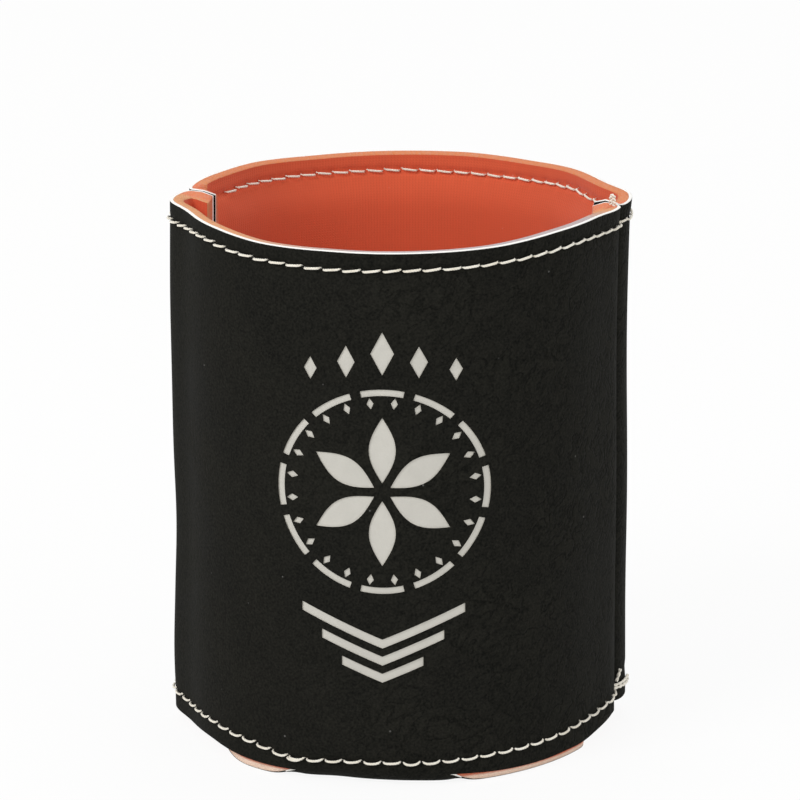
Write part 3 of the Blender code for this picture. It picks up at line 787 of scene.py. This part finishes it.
class Row:
    """One row of stitches on one face of a panel."""

    def __init__(self, panel, stitches, top, depth):
        sizes = panel.sizes
        side = 1 if depth else -1
        self.top, self.side = top, side
        if top and depth:
            depth += (sizes.rim_ply - depth) * panel.thinned(stitches.from_rim)
        surface = depth + (sizes.sewn_ply - depth) * panel.sewn * (depth > 0)
        plan = inset(panel.line, surface + side * OFF_SURFACE)
        height = panel.row(stitches, top)
        if not top:
            reach = np.maximum(panel.bend - depth, LEAST_BEND)
            lean = np.arcsin(np.clip((reach + depth - height) / reach, 0, 1))
            drawn_in = reach * (1 - np.cos(lean)) * panel.curl
            plan = plan - plan * (drawn_in / np.linalg.norm(plan, axis=1))[:, None]
        self.path = np.column_stack([plan, height])
        self.normal = np.column_stack([inward_of(panel.line) * side, np.zeros(len(plan))])
        self.arc = panel.arc
        holes = panel.holes(stitches)
        if side > 0:
            spare = np.abs(plan[:, 1] - np.abs(plan[:, 0]) * math.tan(sizes.seam_turn))
            clear = self.arc[spare > SEAM_ROOM]
            holes = holes[(holes > clear[0]) & (holes < clear[-1])]
        elif not top and panel.middle == BACK:
            holes = holes[UNSEWN_HOLES:]
        self.starts, self.ends = holes[:-1], holes[1:]
        self.drops = np.zeros(len(self.starts))
        if side < 0 and not top and panel.middle == FRONT:
            doubled = panel.arc[-1] / 2 - DOUBLED_FROM_MIDDLE
            self.starts = np.append(self.starts, doubled)
            self.ends = np.append(self.ends, doubled + stitches.pitch)
            self.drops = np.append(self.drops, -DOUBLED_DROP)

    def at(self, arc):
        """Places on the row, and the directions there that point off the surface."""
        place = [np.interp(arc, self.arc, self.path[:, axis]) for axis in range(3)]
        lift = [np.interp(arc, self.arc, self.normal[:, axis]) for axis in range(3)]
        return np.stack(place, axis=-1), np.stack(lift, axis=-1)


def stitch_row(name, row, stitches, material, seed, sides=6, steps=15):
    """Mesh of a whole row: each stitch is a short twisted thread between two holes."""
    rng = np.random.default_rng(seed)
    starts, ends = row.starts[:, None], row.ends[:, None]
    number = len(starts)
    share = np.linspace(0, 1, steps)
    uneven = stitches.unevenness
    inner = 0.05 + 0.02 * uneven * rng.standard_normal((2, number, 1))
    arc = starts + (ends - starts) * (inner[0] + (1 - inner[0] - inner[1]) * share)
    place, lift = row.at(arc)
    centred = 2 * share - 1
    rise = stitches.rise - (stitches.rise + stitches.sink) * np.abs(centred) ** 7
    rise = rise + 0.00005 * uneven * rng.standard_normal((number, 1)) * (1 - centred ** 2)
    if row.top:
        slant = stitches.slant * (1 + 0.5 * uneven * rng.standard_normal((number, 1)))
        climb = slant * centred / 2
    else:
        sag = stitches.sag * (1 + 0.35 * uneven * rng.standard_normal((number, 1)))
        climb = sag * (np.abs(centred) ** 2.2 - 0.45) + 0.00010 * centred
    climb = climb + 0.00007 * uneven * rng.standard_normal((number, 1))
    centre = place + lift * rise[..., None]
    centre[..., 2] += climb + row.drops[:, None]
    paths = twisted(centre, lift, stitches.lay, stitches.strands, stitches.strand_radius)
    pinch = 1 - 0.40 * np.abs(centred) ** 5
    corners, faces = tubes(settle(paths), stitches.strand_radius * pinch, sides)
    return make_piece(name, corners, faces, [material])


# Materials

class Wiring:
    """Places and joins nodes in a tree, a column at a time."""

    def __init__(self, tree):
        self.tree = tree
        self.column = 0

    def put(self, socket, value):
        """Join a socket to another one, or set it to a number or a colour."""
        if isinstance(value, bpy.types.NodeSocket):
            self.tree.links.new(value, socket)
        else:
            socket.default_value = (*value, 1) if isinstance(value, Color) else value

    def node(self, kind, inputs=None, **settings):
        made = self.tree.nodes.new(kind)
        made.location = (self.column * 190, 0)
        self.column += 1
        for key, value in settings.items():
            setattr(made, key, value)
        for key, value in (inputs or {}).items():
            self.put(made.inputs[key], value)
        return made

    def math(self, operation, *values):
        made = self.node("ShaderNodeMath", dict(enumerate(values)), operation=operation)
        return made.outputs[0]

    def times(self, *values):
        return self.math("MULTIPLY", *values)

    def blend(self, share, first, second):
        """Mix two colours, with this share of the second."""
        inputs = {0: share, 6: first, 7: second}
        return self.node("ShaderNodeMix", inputs, data_type="RGBA").outputs[2]

    def noise(self, vector, scale, detail, **more):
        inputs = {"Vector": vector, "Scale": scale, "Detail": detail, **more}
        return self.node("ShaderNodeTexNoise", inputs).outputs

    def span(self, value, low, high, start=0.0, end=1.0):
        """Turn the span from low to high into the one from start to end."""
        inputs = {"Value": value, "From Min": low, "From Max": high, "To Min": start, "To Max": end}
        return self.node("ShaderNodeMapRange", inputs).outputs["Result"]

    def apart(self, vector):
        return self.node("ShaderNodeSeparateXYZ", {"Vector": vector}).outputs

    def seen(self):
        """1 where the camera sees the surface, in gloss and through clear pieces too."""
        path = self.node("ShaderNodeLightPath").outputs
        seen = self.math("MAXIMUM", path["Is Camera Ray"], path["Is Glossy Ray"])
        return self.math("MAXIMUM", seen, path["Is Transmission Ray"])


def new_group(name, sizes, outputs):
    """A shader group that takes a place and some sizes, and gives values."""
    group = bpy.data.node_groups.new(name, "ShaderNodeTree")
    group.interface.new_socket("Vector", in_out="INPUT", socket_type="NodeSocketVector")
    for label, size in sizes.items():
        socket = group.interface.new_socket(label, in_out="INPUT", socket_type="NodeSocketFloat")
        socket.default_value = size
    for label in outputs:
        group.interface.new_socket(label, in_out="OUTPUT", socket_type="NodeSocketFloat")
    wiring = Wiring(group)
    return wiring, wiring.node("NodeGroupInput").outputs


def nap_group():
    """Mottled nap with fine grain and drawn creases, for leatherette, core, foam and thread."""
    sizes = {"Patch Size": 0.012, "Grain Size": 0.0004, "Crease Size": 0.0030}
    wiring, given = new_group("mottled_nap", sizes, ("Patches", "Grain", "Creases"))
    where = given["Vector"]
    scales = [wiring.math("DIVIDE", 1.0, given[label]) for label in sizes]
    patches = wiring.noise(where, scales[0], 5.0, Roughness=0.62, Distortion=0.6)[0]
    grain = wiring.noise(where, scales[1], 3.0, Roughness=0.6)[0]
    warp = wiring.noise(where, wiring.times(scales[2], 0.6), 2.0)["Color"]
    reach = wiring.times(given["Crease Size"], 1.6)
    pushed = wiring.node("ShaderNodeVectorMath", {0: warp, "Scale": reach}, operation="SCALE")
    moved = wiring.node("ShaderNodeVectorMath", {0: where, 1: pushed.outputs[0]}, operation="ADD")
    drawn = wiring.node("ShaderNodeMapping", {
        "Vector": moved.outputs[0], "Rotation": (0, math.radians(-35), 0), "Scale": (2.0, 1, 1),
    }, vector_type="TEXTURE")
    folds = wiring.noise(drawn.outputs[0], scales[2], 2.5, Roughness=0.6)[0]
    off_fold = wiring.math("ABSOLUTE", wiring.math("SUBTRACT", folds, 0.5))
    wiring.node("NodeGroupOutput", {
        "Patches": wiring.span(patches, 0.3, 0.7), "Grain": grain,
        "Creases": wiring.span(off_fold, 0.0, 0.07, 1.0, 0.0),
    })


def lint_and_glints_group():
    """Sparse pale specks: fluff on cloth, and painted glints on the nap."""
    sizes = {"Spacing": 0.006, "Speck Size": 0.03}
    wiring, given = new_group("lint_and_glints", sizes, ("Specks",))
    cells = wiring.node("ShaderNodeTexVoronoi", {
        "Vector": given["Vector"], "Scale": wiring.math("DIVIDE", 1.0, given["Spacing"]),
        "Randomness": 1.0,
    }).outputs
    near = wiring.math("LESS_THAN", cells["Distance"], given["Speck Size"])
    strong = wiring.node("ShaderNodeSeparateColor", {"Color": cells["Color"]}).outputs[0]
    wiring.node("NodeGroupOutput", {"Specks": wiring.times(near, strong)})


class Finish(Wiring):
    """A material, the places on the object that it goes by, and the shared nap on it."""

    def __init__(self, name, roughness, specular, patch, grain):
        material = bpy.data.materials.new(name)
        material.use_nodes = True
        super().__init__(material.node_tree)
        self.shader = self.tree.nodes["Principled BSDF"]
        self.shader.inputs["Roughness"].default_value = roughness
        self.shader.inputs["Specular IOR Level"].default_value = specular
        self.places = self.node("ShaderNodeTexCoord").outputs
        self.where = self.places["Object"]
        self.nap = self.group("mottled_nap", {"Patch Size": patch, "Grain Size": grain})

    def group(self, name, sizes):
        """Outputs of a shared group with these sizes, at each place on the object."""
        inputs = {"Vector": self.where, **sizes}
        return self.node("ShaderNodeGroup", inputs, node_tree=bpy.data.node_groups[name]).outputs

    def lint_and_glints(self, spacing, size):
        return self.group("lint_and_glints", {"Spacing": spacing, "Speck Size": size})["Specks"]

    def finish(self, tone, height=None, depth=0.0):
        """Set the surface's colour, and its relief."""
        self.put(self.shader.inputs["Base Color"], tone)
        if height is not None:
            relief = self.node("ShaderNodeBump", {"Height": height, "Distance": depth})
            relief.inputs["Strength"].default_value = 1.0
            self.put(self.shader.inputs["Normal"], relief.outputs["Normal"])


def leatherette_finish(colours):
    """Black nap, rubbed paler in patches and more creased toward the right, with painted shade in its
    creases.
    """
    black = Finish("black_nap", 0.88, 0.06, 0.014, 0.00042)
    patches, grain = black.nap["Patches"], black.nap["Grain"]
    side = black.span(black.apart(black.where)["X"], -0.020, 0.016, 0.25, 1.0)
    creased = black.times(side, patches)
    creased = black.times(creased, black.nap["Creases"])
    rubbed = black.times(patches, 0.24)
    rubbed = black.math("ADD", rubbed, black.times(black.span(grain, 0.30, 0.70), 0.52))
    # Painted shade: the nap is darkened in its creases
    rubbed = black.math("SUBTRACT", rubbed, black.times(creased, 0.30))
    tone = black.blend(rubbed, colours.leatherette, colours.leatherette_light)
    # Painted glints: sparse pale specks of the core's colour on the nap
    tone = black.blend(black.times(black.lint_and_glints(0.0050, 0.035), 0.12), tone, colours.core)
    black.put(black.shader.inputs["Roughness"], black.span(patches, 0.0, 1.0, 0.74, 0.90))
    height = black.math("ADD", black.times(grain, 0.6), black.times(creased, -2.4))
    black.finish(tone, height, 0.00009)


def core_finish(colours):
    core = Finish("pale_core", 0.75, 0.3, 0.003, 0.00025)
    grain = core.nap["Grain"]
    tone = core.blend(core.times(grain, 0.5), colours.core, colours.core * 0.86)
    core.finish(tone, grain, 0.00004)


def engraved_finish(colours):
    core = Finish("engraved_core", 0.7, 0.3, 0.006, 0.0003)
    grain = core.nap["Grain"]
    tone = core.blend(core.nap["Patches"], colours.engraved, colours.engraved * 0.9)
    tone = core.blend(core.times(grain, 0.25), tone, colours.engraved * 0.7)
    core.finish(tone, grain, 0.00005)


def foam_finish(colours):
    """Cut foam: peach, greyer with painted shade at the front right, redder in the seams and over the
    base.
    """
    foam = Finish("cut_foam", 0.92, 0.15, 0.005, 0.0003)
    inputs = {"Vector": foam.where, "Scale": 3600.0}
    pores = foam.node("ShaderNodeTexVoronoi", inputs).outputs["Distance"]
    x, y, z = foam.apart(foam.where)
    high = foam.span(z, 0.04, 0.08)
    low = foam.span(z, 0.0026, 0.0022)
    # Painted shade: the cut edge at the front right is greyed as it looks in shade
    painted_grey_shade = foam.times(foam.span(x, -0.024, -0.004), foam.span(y, -0.004, -0.012))
    behind = foam.span(y, -0.002, 0.008)
    seam_line = foam.times(foam.math("ABSOLUTE", x), 0.0524)
    off_seam = foam.math("ABSOLUTE", foam.math("SUBTRACT", y, seam_line))
    seam = foam.times(foam.span(off_seam, 0.0034, 0.0026), high)
    level = foam.math("ADD", z, foam.span(x, 0.012, 0.030, 0.0, 0.00035))
    top = foam.times(low, foam.span(level, 0.00095, 0.00135))
    tone = foam.blend(foam.times(painted_grey_shade, high), colours.foam, colours.foam_shaded)
    for share, colour in (
        (foam.times(behind, high), colours.foam_back),
        (foam.times(seam, 0.55), colours.lining),
        (low, colours.foam_low),
        # Lining colour, darkened by a quarter as painted shade under the panel's edge
        (top, colours.lining * 0.75),
        # Painted shade in the foam's pores, in the grey of the shaded edge
        (foam.span(pores, 0.25, 0.75, 0.0, 0.22), colours.foam_shaded),
        (foam.times(foam.nap["Patches"], 0.25), colours.foam * 0.8),
    ):
        tone = foam.blend(share, tone, colour)
    foam.finish(tone, pores, 0.00012)


def lining_finish(colours):
    """Fine warp-knit face: narrow columns of slanted loops along the cloth."""
    knit = Finish("knit_lining", 0.9, 0.2, 0.008, 0.00025)
    knit.shader.inputs["Sheen Weight"].default_value = 0.2
    across, along, _ = knit.apart(knit.places["UV"])
    columns = knit.math("PINGPONG", across, 0.00030)
    slanted = knit.math("ADD", along, knit.times(columns, 0.9))
    loops = knit.math("PINGPONG", slanted, 0.00024)
    yarn = knit.math("ADD", knit.times(columns, 1800.0), knit.times(loops, 1900.0))
    tone = knit.blend(knit.times(yarn, 0.5), colours.lining * 0.8, colours.lining * 1.1)
    tone = knit.blend(knit.times(knit.nap["Patches"], 0.3), tone, colours.lining * 0.75)
    tone = knit.blend(knit.times(knit.lint_and_glints(0.0040, 0.03), 0.2), tone, colours.core)
    knit.finish(tone, yarn, 0.00006)


def thread_finish(colours):
    thread = Finish("cream_thread", 0.62, 0.35, 0.0020, 0.00012)
    thread.shader.inputs["Sheen Weight"].default_value = 0.15
    grain = thread.nap["Grain"]
    shade = thread.math("ADD", thread.times(thread.nap["Patches"], 0.35), thread.times(grain, 0.25))
    thread.finish(thread.blend(shade, colours.thread, colours.thread_shade), grain, 0.00004)


def floor_finish(colours):
    """Pale floor that looks white to the camera and in gloss, and keeps a faint shadow."""
    floor = Finish("pale_floor", 0.9, 0.1, 0.5, 0.01)
    worn = floor.times(floor.nap["Patches"], 0.03)
    floor.finish(floor.blend(worn, colours.floor, Color((0.8, 0.8, 0.8))))
    glow = floor.node("ShaderNodeEmission", {"Color": (1, 1, 1, 1), "Strength": 1.0})
    mixed = floor.node("ShaderNodeMixShader", {
        0: floor.times(floor.seen(), 0.91), 1: floor.shader.outputs[0], 2: glow.outputs[0],
    })
    floor.put(floor.tree.nodes["Material Output"].inputs["Surface"], mixed.outputs[0])


FINISHES = (
    leatherette_finish, core_finish, engraved_finish, foam_finish, lining_finish, thread_finish,
    floor_finish,
)


# Ornament

# Width and height of the crown's points, from the middle one outward, and the chevrons' widths
CROWN = ((0.0040, 0.0076), (0.0030, 0.0056), (0.0022, 0.0040))
CHEVRONS = (0.0280, 0.0210, 0.0140)


def leaned(points, lean):
    """The flat points turned about the origin."""
    across, up = math.cos(lean), math.sin(lean)
    return points @ np.array([(across, up), (-up, across)])


def diamond(x, z, width, height, lean=0.0):
    corners = np.array([(-width / 2, 0), (0, -height / 2), (width / 2, 0), (0, height / 2)])
    return leaned(corners, lean) + (x, z)


def ornament(sizes):
    """Outlines of the engraving, seen from the front: a rosette in a ring, a crown, chevrons."""
    outlines = []
    share = np.linspace(0, 1, 17)
    half = sizes.petal_width / 2 * np.sin(math.pi * share)
    reach = sizes.petal_start + sizes.petal_length * share
    petal = np.concatenate([np.stack([reach, -half], 1), np.stack([reach, half], 1)[-2:0:-1]])
    for spoke in range(sizes.petal_count):
        outlines.append(leaned(petal, math.tau * (spoke + 0.5) / sizes.petal_count))
    for dash in range(sizes.ring_dashes):
        dash_turns = np.linspace(-0.5, 0.5, 13) * sizes.ring_dash_turn
        turns = math.tau * dash / sizes.ring_dashes + dash_turns
        widths = (0, sizes.ring_width)
        outer, inner = (at_turn(turns, sizes.ring_radius - width) for width in widths)
        outlines.append(np.concatenate([outer, inner[::-1]]))
    for bead in range(sizes.bead_count):
        lean = math.tau * (bead + 0.5) / sizes.bead_count
        x, z = at_turn(lean, sizes.bead_radius)
        outlines.append(diamond(x, z, sizes.bead_size, sizes.bead_size * 0.6, lean))
    for place, (width, height) in enumerate(CROWN):
        for side in ((0,) if place == 0 else (-1, 1)):
            x = side * place * sizes.crown_step
            z = sizes.crown_rise - place * sizes.crown_step / 4
            outlines.append(diamond(x, z, width, height))
    for place, width in enumerate(CHEVRONS):
        drop = -sizes.chevron_drop - place * sizes.chevron_step
        fall = sizes.chevron_point * width / CHEVRONS[0]
        band = sizes.chevron_band
        outlines.append(np.array([
            (-width / 2, drop), (0, drop - fall), (width / 2, drop),
            (width / 2, drop - band), (0, drop - fall - band), (-width / 2, drop - band),
        ]))
    return outlines


def prisms(name, loops, materials):
    """Closed prisms between pairs of like loops of corners, in the last material slot."""
    corners, faces = [], []
    for near, far in loops:
        start, size = len(corners), len(near)
        corners += [*near, *far]
        faces.append(tuple(range(start, start + size)))
        faces.append(tuple(range(start + 2 * size - 1, start + size - 1, -1)))
        for place in range(size):
            here, before = start + place, start + (place - 1) % size
            faces.append((here, before, size + before, size + here))
    thing = new_thing(name, corners, faces, materials)
    slots = [len(materials) - 1] * len(faces)
    thing.data.polygons.foreach_set("material_index", slots)
    return thing


def cut(thing, cutter):
    """Take the cutter out of the thing, keep the result as its mesh, and remove the cutter."""
    step = thing.modifiers.new("cut", "BOOLEAN")
    step.operation, step.solver, step.object = "DIFFERENCE", "EXACT", cutter
    bpy.context.view_layer.update()
    evaluated = thing.evaluated_get(bpy.context.evaluated_depsgraph_get())
    done = bpy.data.meshes.new_from_object(evaluated)
    thing.modifiers.clear()
    thing.data = done
    bpy.data.objects.remove(cutter, do_unlink=True)


def one_way_round(outline):
    """The outline with its corners in the order that makes a prism's faces look outward."""
    x, z = outline.T
    area = np.sum(x * np.roll(z, -1) - z * np.roll(x, -1))
    return outline if area > 0 else outline[::-1]


def engrave(cover, blank, sizes):
    """Sink the ornament into the front panel, with the pale core on its floor."""
    radius = blank.sizes.wall_radius
    turned = Matrix.Rotation(sizes.turn, 3, "Z")
    loops = []
    for outline in map(one_way_round, ornament(sizes)):
        loops.append([
            [turned @ Vector((x, y, z + sizes.height)) for x, z in outline]
            for y in (-radius * 1.2, -radius * 0.5)
        ])
    materials = list(cover.data.materials)
    cutter = prisms("ornament_cutter", loops, materials)
    panel = blank.panels[0]
    floor = inset(panel.line, np.full(len(panel.line), sizes.depth))[::SAMPLES]
    floor = floor[panel.sewn[::SAMPLES] == 0]
    loop = [[(x, y, z) for x, y in floor] for z in (0.2, -0.1)]
    cut(cutter, prisms("ornament_floor", [loop], materials))
    cut(cover, cutter)


# Operators

def settings():
    return bpy.context.scene.holder


def materials_of(*names):
    return [bpy.data.materials[name] for name in names]


class HolderSettings(bpy.types.PropertyGroup):
    blank: PointerProperty(type=BlankSizes)
    stitches: PointerProperty(type=StitchSizes)
    ornament: PointerProperty(type=OrnamentSizes)
    colours: PointerProperty(type=FinishColours)
    studio: PointerProperty(type=StudioSettings)


class HOLDER_OT_finishes(bpy.types.Operator):
    """Make the shader groups and materials that the other pieces share"""

    bl_idname = "holder.finishes"
    bl_label = "Finishes"

    def execute(self, context):
        nap_group()
        lint_and_glints_group()
        for make in FINISHES:
            make(settings().colours)
        return {"FINISHED"}


class HOLDER_OT_cover(bpy.types.Operator):
    """Make the folded leatherette cover with its engraving"""

    bl_idname = "holder.cover"
    bl_label = "Leatherette cover"

    def execute(self, context):
        holder = settings()
        sizes, stitches = holder.blank, holder.stitches
        blank = Blank(sizes, stitches)
        outer = blank.sheet(0, 0, 0, flat_border, stitches.furrow, stitches.dimple)
        inner = blank.sheet(sizes.cover_ply, sizes.rim_cover, sizes.sewn_cover, blank.border_skin)
        cover = laminate(
            "leatherette_sleeve", outer, inner, blank.faces(), blank.places(), sizes.cut_bulge,
            materials_of("black_nap", "pale_core", "pale_core", "engraved_core"),
        )
        for face in cover.data.polygons:
            if face.material_index == 2 and face.center.z < DARK_EDGE:
                face.material_index = 0
        engrave(cover, blank, holder.ornament)
        dress(cover, "leatherette_cover")
        return {"FINISHED"}


class HOLDER_OT_foam(bpy.types.Operator):
    """Make the foam lining with its knit face and cut edges"""

    bl_idname = "holder.foam"
    bl_label = "Foam lining"

    def execute(self, context):
        holder = settings()
        sizes, stitches = holder.blank, holder.stitches
        blank = Blank(sizes, stitches)

        def under(angle, away):
            return blank.border_skin(angle, away) + GLUE

        def over(angle, away):
            slack = FOAM_SLACK * np.exp(-(away / FOAM_SLACK_REACH) ** 2)
            return sizes.border_height * (1 - slack)

        plies = (sizes.cover_ply, sizes.rim_cover, sizes.sewn_cover)
        outer = blank.sheet(*(ply + GLUE for ply in plies), under)
        plies = (sizes.whole_ply, sizes.rim_ply, sizes.sewn_ply)
        inner = blank.sheet(*plies, over, stitches.lining_furrow, stitches.dimple)
        foam = laminate(
            "foam_body", outer, inner, blank.faces(), blank.places(), FOAM_BULGE,
            materials_of("cut_foam", "knit_lining", "cut_foam"),
        )
        dress(foam, "foam_lining")
        return {"FINISHED"}


class HOLDER_OT_topstitching(bpy.types.Operator):
    """Make the rows of topstitching along the rim and the lower edge, outside and inside"""

    bl_idname = "holder.topstitching"
    bl_label = "Topstitching"

    def execute(self, context):
        holder = settings()
        sizes, stitches = holder.blank, holder.stitches
        thread = bpy.data.materials["cream_thread"]
        seed = 11
        for side, middle in (("front", FRONT), ("back", BACK)):
            panel = Panel(sizes, middle)
            for edge, top in (("top", True), ("bottom", False)):
                row = Row(panel, stitches, top, 0)
                name = f"{edge}_needle_stitches_{side}"
                piece = stitch_row(name, row, stitches, thread, seed)
                dress(piece, f"{edge}_thread_{side}")
                row = Row(panel, stitches, top, sizes.whole_ply)
                name = f"{edge}_bobbin_stitches_{side}"
                piece = stitch_row(name, row, stitches, thread, seed + 1, sides=5, steps=11)
                dress(piece, f"{edge}_bobbin_{side}")
                seed += 2
        return {"FINISHED"}


class HOLDER_OT_seams(bpy.types.Operator):
    """Make the side seams' threads, the knot on the right rim and the loose ends below"""

    bl_idname = "holder.seams"
    bl_label = "Side seams"

    def execute(self, context):
        holder = settings()
        sizes, stitches = holder.blank, holder.stitches
        thread = bpy.data.materials["cream_thread"]
        top = sizes.rim_height + sizes.rim_lift
        heights = np.linspace(sizes.panel_edge + SEAM_START, top - SEAM_END, 220)
        for side, seam in (("left", math.pi - sizes.seam_turn), ("right", sizes.seam_turn)):
            foot = at_turn(seam, sizes.wall_radius + GROOVE_OUT - SEAM_INSIDE)
            centre = np.column_stack([np.tile(foot, (len(heights), 1)), heights])[None]
            normal = np.broadcast_to((0.0, 1.0, 0.0), centre.shape)
            paths = twisted(centre, normal, SEAM_LAY, 2, SEAM_THREAD)
            corners, faces = tubes(settle(paths), SEAM_THREAD, 5)
            piece = make_piece(f"seam_stitches_{side}", corners, faces, [thread])
            dress(piece, f"seam_thread_{side}")
        for name, paths, radius in self.loose_ends(sizes, stitches, top):
            corners, faces = tubes(settle(paths), radius, 8)
            make_piece(name, corners, faces, [thread]).parent = piece
        return {"FINISHED"}

    def loose_ends(self, sizes, stitches, top):
        """The right seam's braided knot on the rim, and its loop and tail below."""
        share = np.linspace(0, 1, 72)
        x, y = at_turn(sizes.seam_turn, sizes.wall_radius - 0.00035)
        braid = []
        for strand in range(3):
            swing = math.tau * (KNOT_TURNS * share + strand / 3)
            width = KNOT_WIDTH * (1 - 0.25 * share) * np.minimum(1, 8 * (1 - share)) ** 0.5
            braid.append(np.stack([
                x + width * np.sin(swing),
                y - 0.0010 + KNOT_DEPTH * np.sin(2 * swing) - 0.0002 * share,
                top - KNOT_BELOW + KNOT_LENGTH * share,
            ], axis=1))
        yield "seam_knot", braid, KNOT_THREAD

        row = Row(Panel(sizes, BACK), stitches, False, 0)
        place, lift = row.at(sizes.allowance + LOOP_START + LOOP_LENGTH * share)
        loop = []
        for side in (-1, 1):
            cord = place + lift * 0.00022
            apart = LOOP_GAP + LOOP_SPREAD * share ** 2
            apart *= side * np.clip(7 * (1 - share), 0, 1) ** 0.5
            cord[:, 2] = LOOP_HEIGHT + 0.0001 * share + apart
            loop.append(cord)
        loop = np.stack(loop)
        lifts = np.broadcast_to(lift, loop.shape)
        yield "seam_loop", twisted(loop, lifts, 0.0024, 2, 0.00014), LOOP_THREAD

        place, lift = row.at(sizes.allowance + TAIL_START + TAIL_SHIFT * share)
        tail = place + lift * 0.00036
        tail[:, 2] = TAIL_FOOT + TAIL_LENGTH * share
        yield "seam_tail", twisted(tail[None], lift[None], 0.0020, 2, 0.00015), TAIL_THREAD


class HOLDER_OT_studio(bpy.types.Operator):
    """Make the floor, the lights, the sky and the camera"""

    bl_idname = "holder.studio"
    bl_label = "Studio"

    def execute(self, context):
        studio = settings().studio
        half = 4.0
        floor = make_piece(
            "floor", [(-half, -half, 0), (half, -half, 0), (half, half, 0), (-half, half, 0)],
            [(0, 1, 2, 3)], [bpy.data.materials["pale_floor"]],
        )
        floor.location.z = CAD_BOX[0][2] - 0.00005
        self.light("key_light", (-0.9, -1.1, 1.2), 0.9, studio.key)
        self.light("fill_light", (1.2, -0.8, 0.7), 0.9, studio.fill)
        self.light("top_light", (0.0, 0.4, 1.6), 1.0, studio.top)
        self.sky(studio.sky)
        self.camera(studio)
        bpy.context.scene.view_settings.view_transform = "Standard"
        return {"FINISHED"}

    def light(self, name, place, size, power):
        lamp = bpy.data.lights.new(name, "AREA")
        lamp.shape, lamp.size, lamp.energy = "DISK", size, power
        thing = bpy.data.objects.new(name, lamp)
        thing.location = place
        aim = Vector((0, 0, 0.05)) - Vector(place)
        thing.rotation_euler = aim.to_track_quat("-Z", "Y").to_euler()
        bpy.context.scene.collection.objects.link(thing)

    def sky(self, strength):
        world = bpy.data.worlds.new("studio_sky")
        world.use_nodes = True
        bpy.context.scene.world = world
        wiring = Wiring(world.node_tree)
        level = wiring.span(wiring.seen(), 0.0, 1.0, strength, 1.0)
        sky = world.node_tree.nodes["Background"]
        sky.inputs["Color"].default_value = (1, 1, 1, 1)
        wiring.tree.links.new(level, sky.inputs["Strength"])

    def camera(self, studio):
        lens = bpy.data.cameras.new("camera")
        lens.lens, lens.sensor_width = studio.lens, 36
        lens.shift_x, lens.shift_y = studio.shift_x, studio.shift_y
        lens.clip_end = 20
        thing = bpy.data.objects.new("camera", lens)
        level = studio.camera_distance * math.cos(studio.camera_rise)
        thing.location = (
            level * math.sin(studio.camera_turn),
            -level * math.cos(studio.camera_turn),
            studio.camera_height + studio.camera_distance * math.sin(studio.camera_rise),
        )
        aim = Vector((0, 0, studio.camera_height)) - thing.location
        thing.rotation_euler = aim.to_track_quat("-Z", "Y").to_euler()
        bpy.context.scene.collection.objects.link(thing)
        bpy.context.scene.camera = thing


class HOLDER_PT_panel(bpy.types.Panel):
    bl_idname = "HOLDER_PT_panel"
    bl_label = "Beverage holder"
    bl_space_type = "VIEW_3D"
    bl_region_type = "UI"
    bl_category = "Holder"

    def draw(self, context):
        holder = context.scene.holder
        for part in ("blank", "stitches", "ornament", "colours", "studio"):
            group = getattr(holder, part)
            box = self.layout.box()
            for name in group.bl_rna.properties.keys():
                if name not in ("rna_type", "name"):
                    box.prop(group, name)
        for operator in OPERATORS:
            self.layout.operator(operator.bl_idname)


OPERATORS = (
    HOLDER_OT_finishes, HOLDER_OT_cover, HOLDER_OT_foam,
    HOLDER_OT_topstitching, HOLDER_OT_seams, HOLDER_OT_studio,
)
CLASSES = (
    BlankSizes, StitchSizes, OrnamentSizes, FinishColours, StudioSettings, HolderSettings,
    *OPERATORS, HOLDER_PT_panel,
)


def register():
    for part in CLASSES:
        bpy.utils.register_class(part)
    bpy.types.Scene.holder = PointerProperty(type=HolderSettings)


def unregister():
    del bpy.types.Scene.holder
    for part in reversed(CLASSES):
        bpy.utils.unregister_class(part)


def main():
    register()
    bpy.ops.holder.finishes()
    bpy.ops.holder.cover()
    bpy.ops.holder.foam()
    bpy.ops.holder.topstitching()
    bpy.ops.holder.seams()
    bpy.ops.holder.studio()


if __name__ == "__main__":
    main()
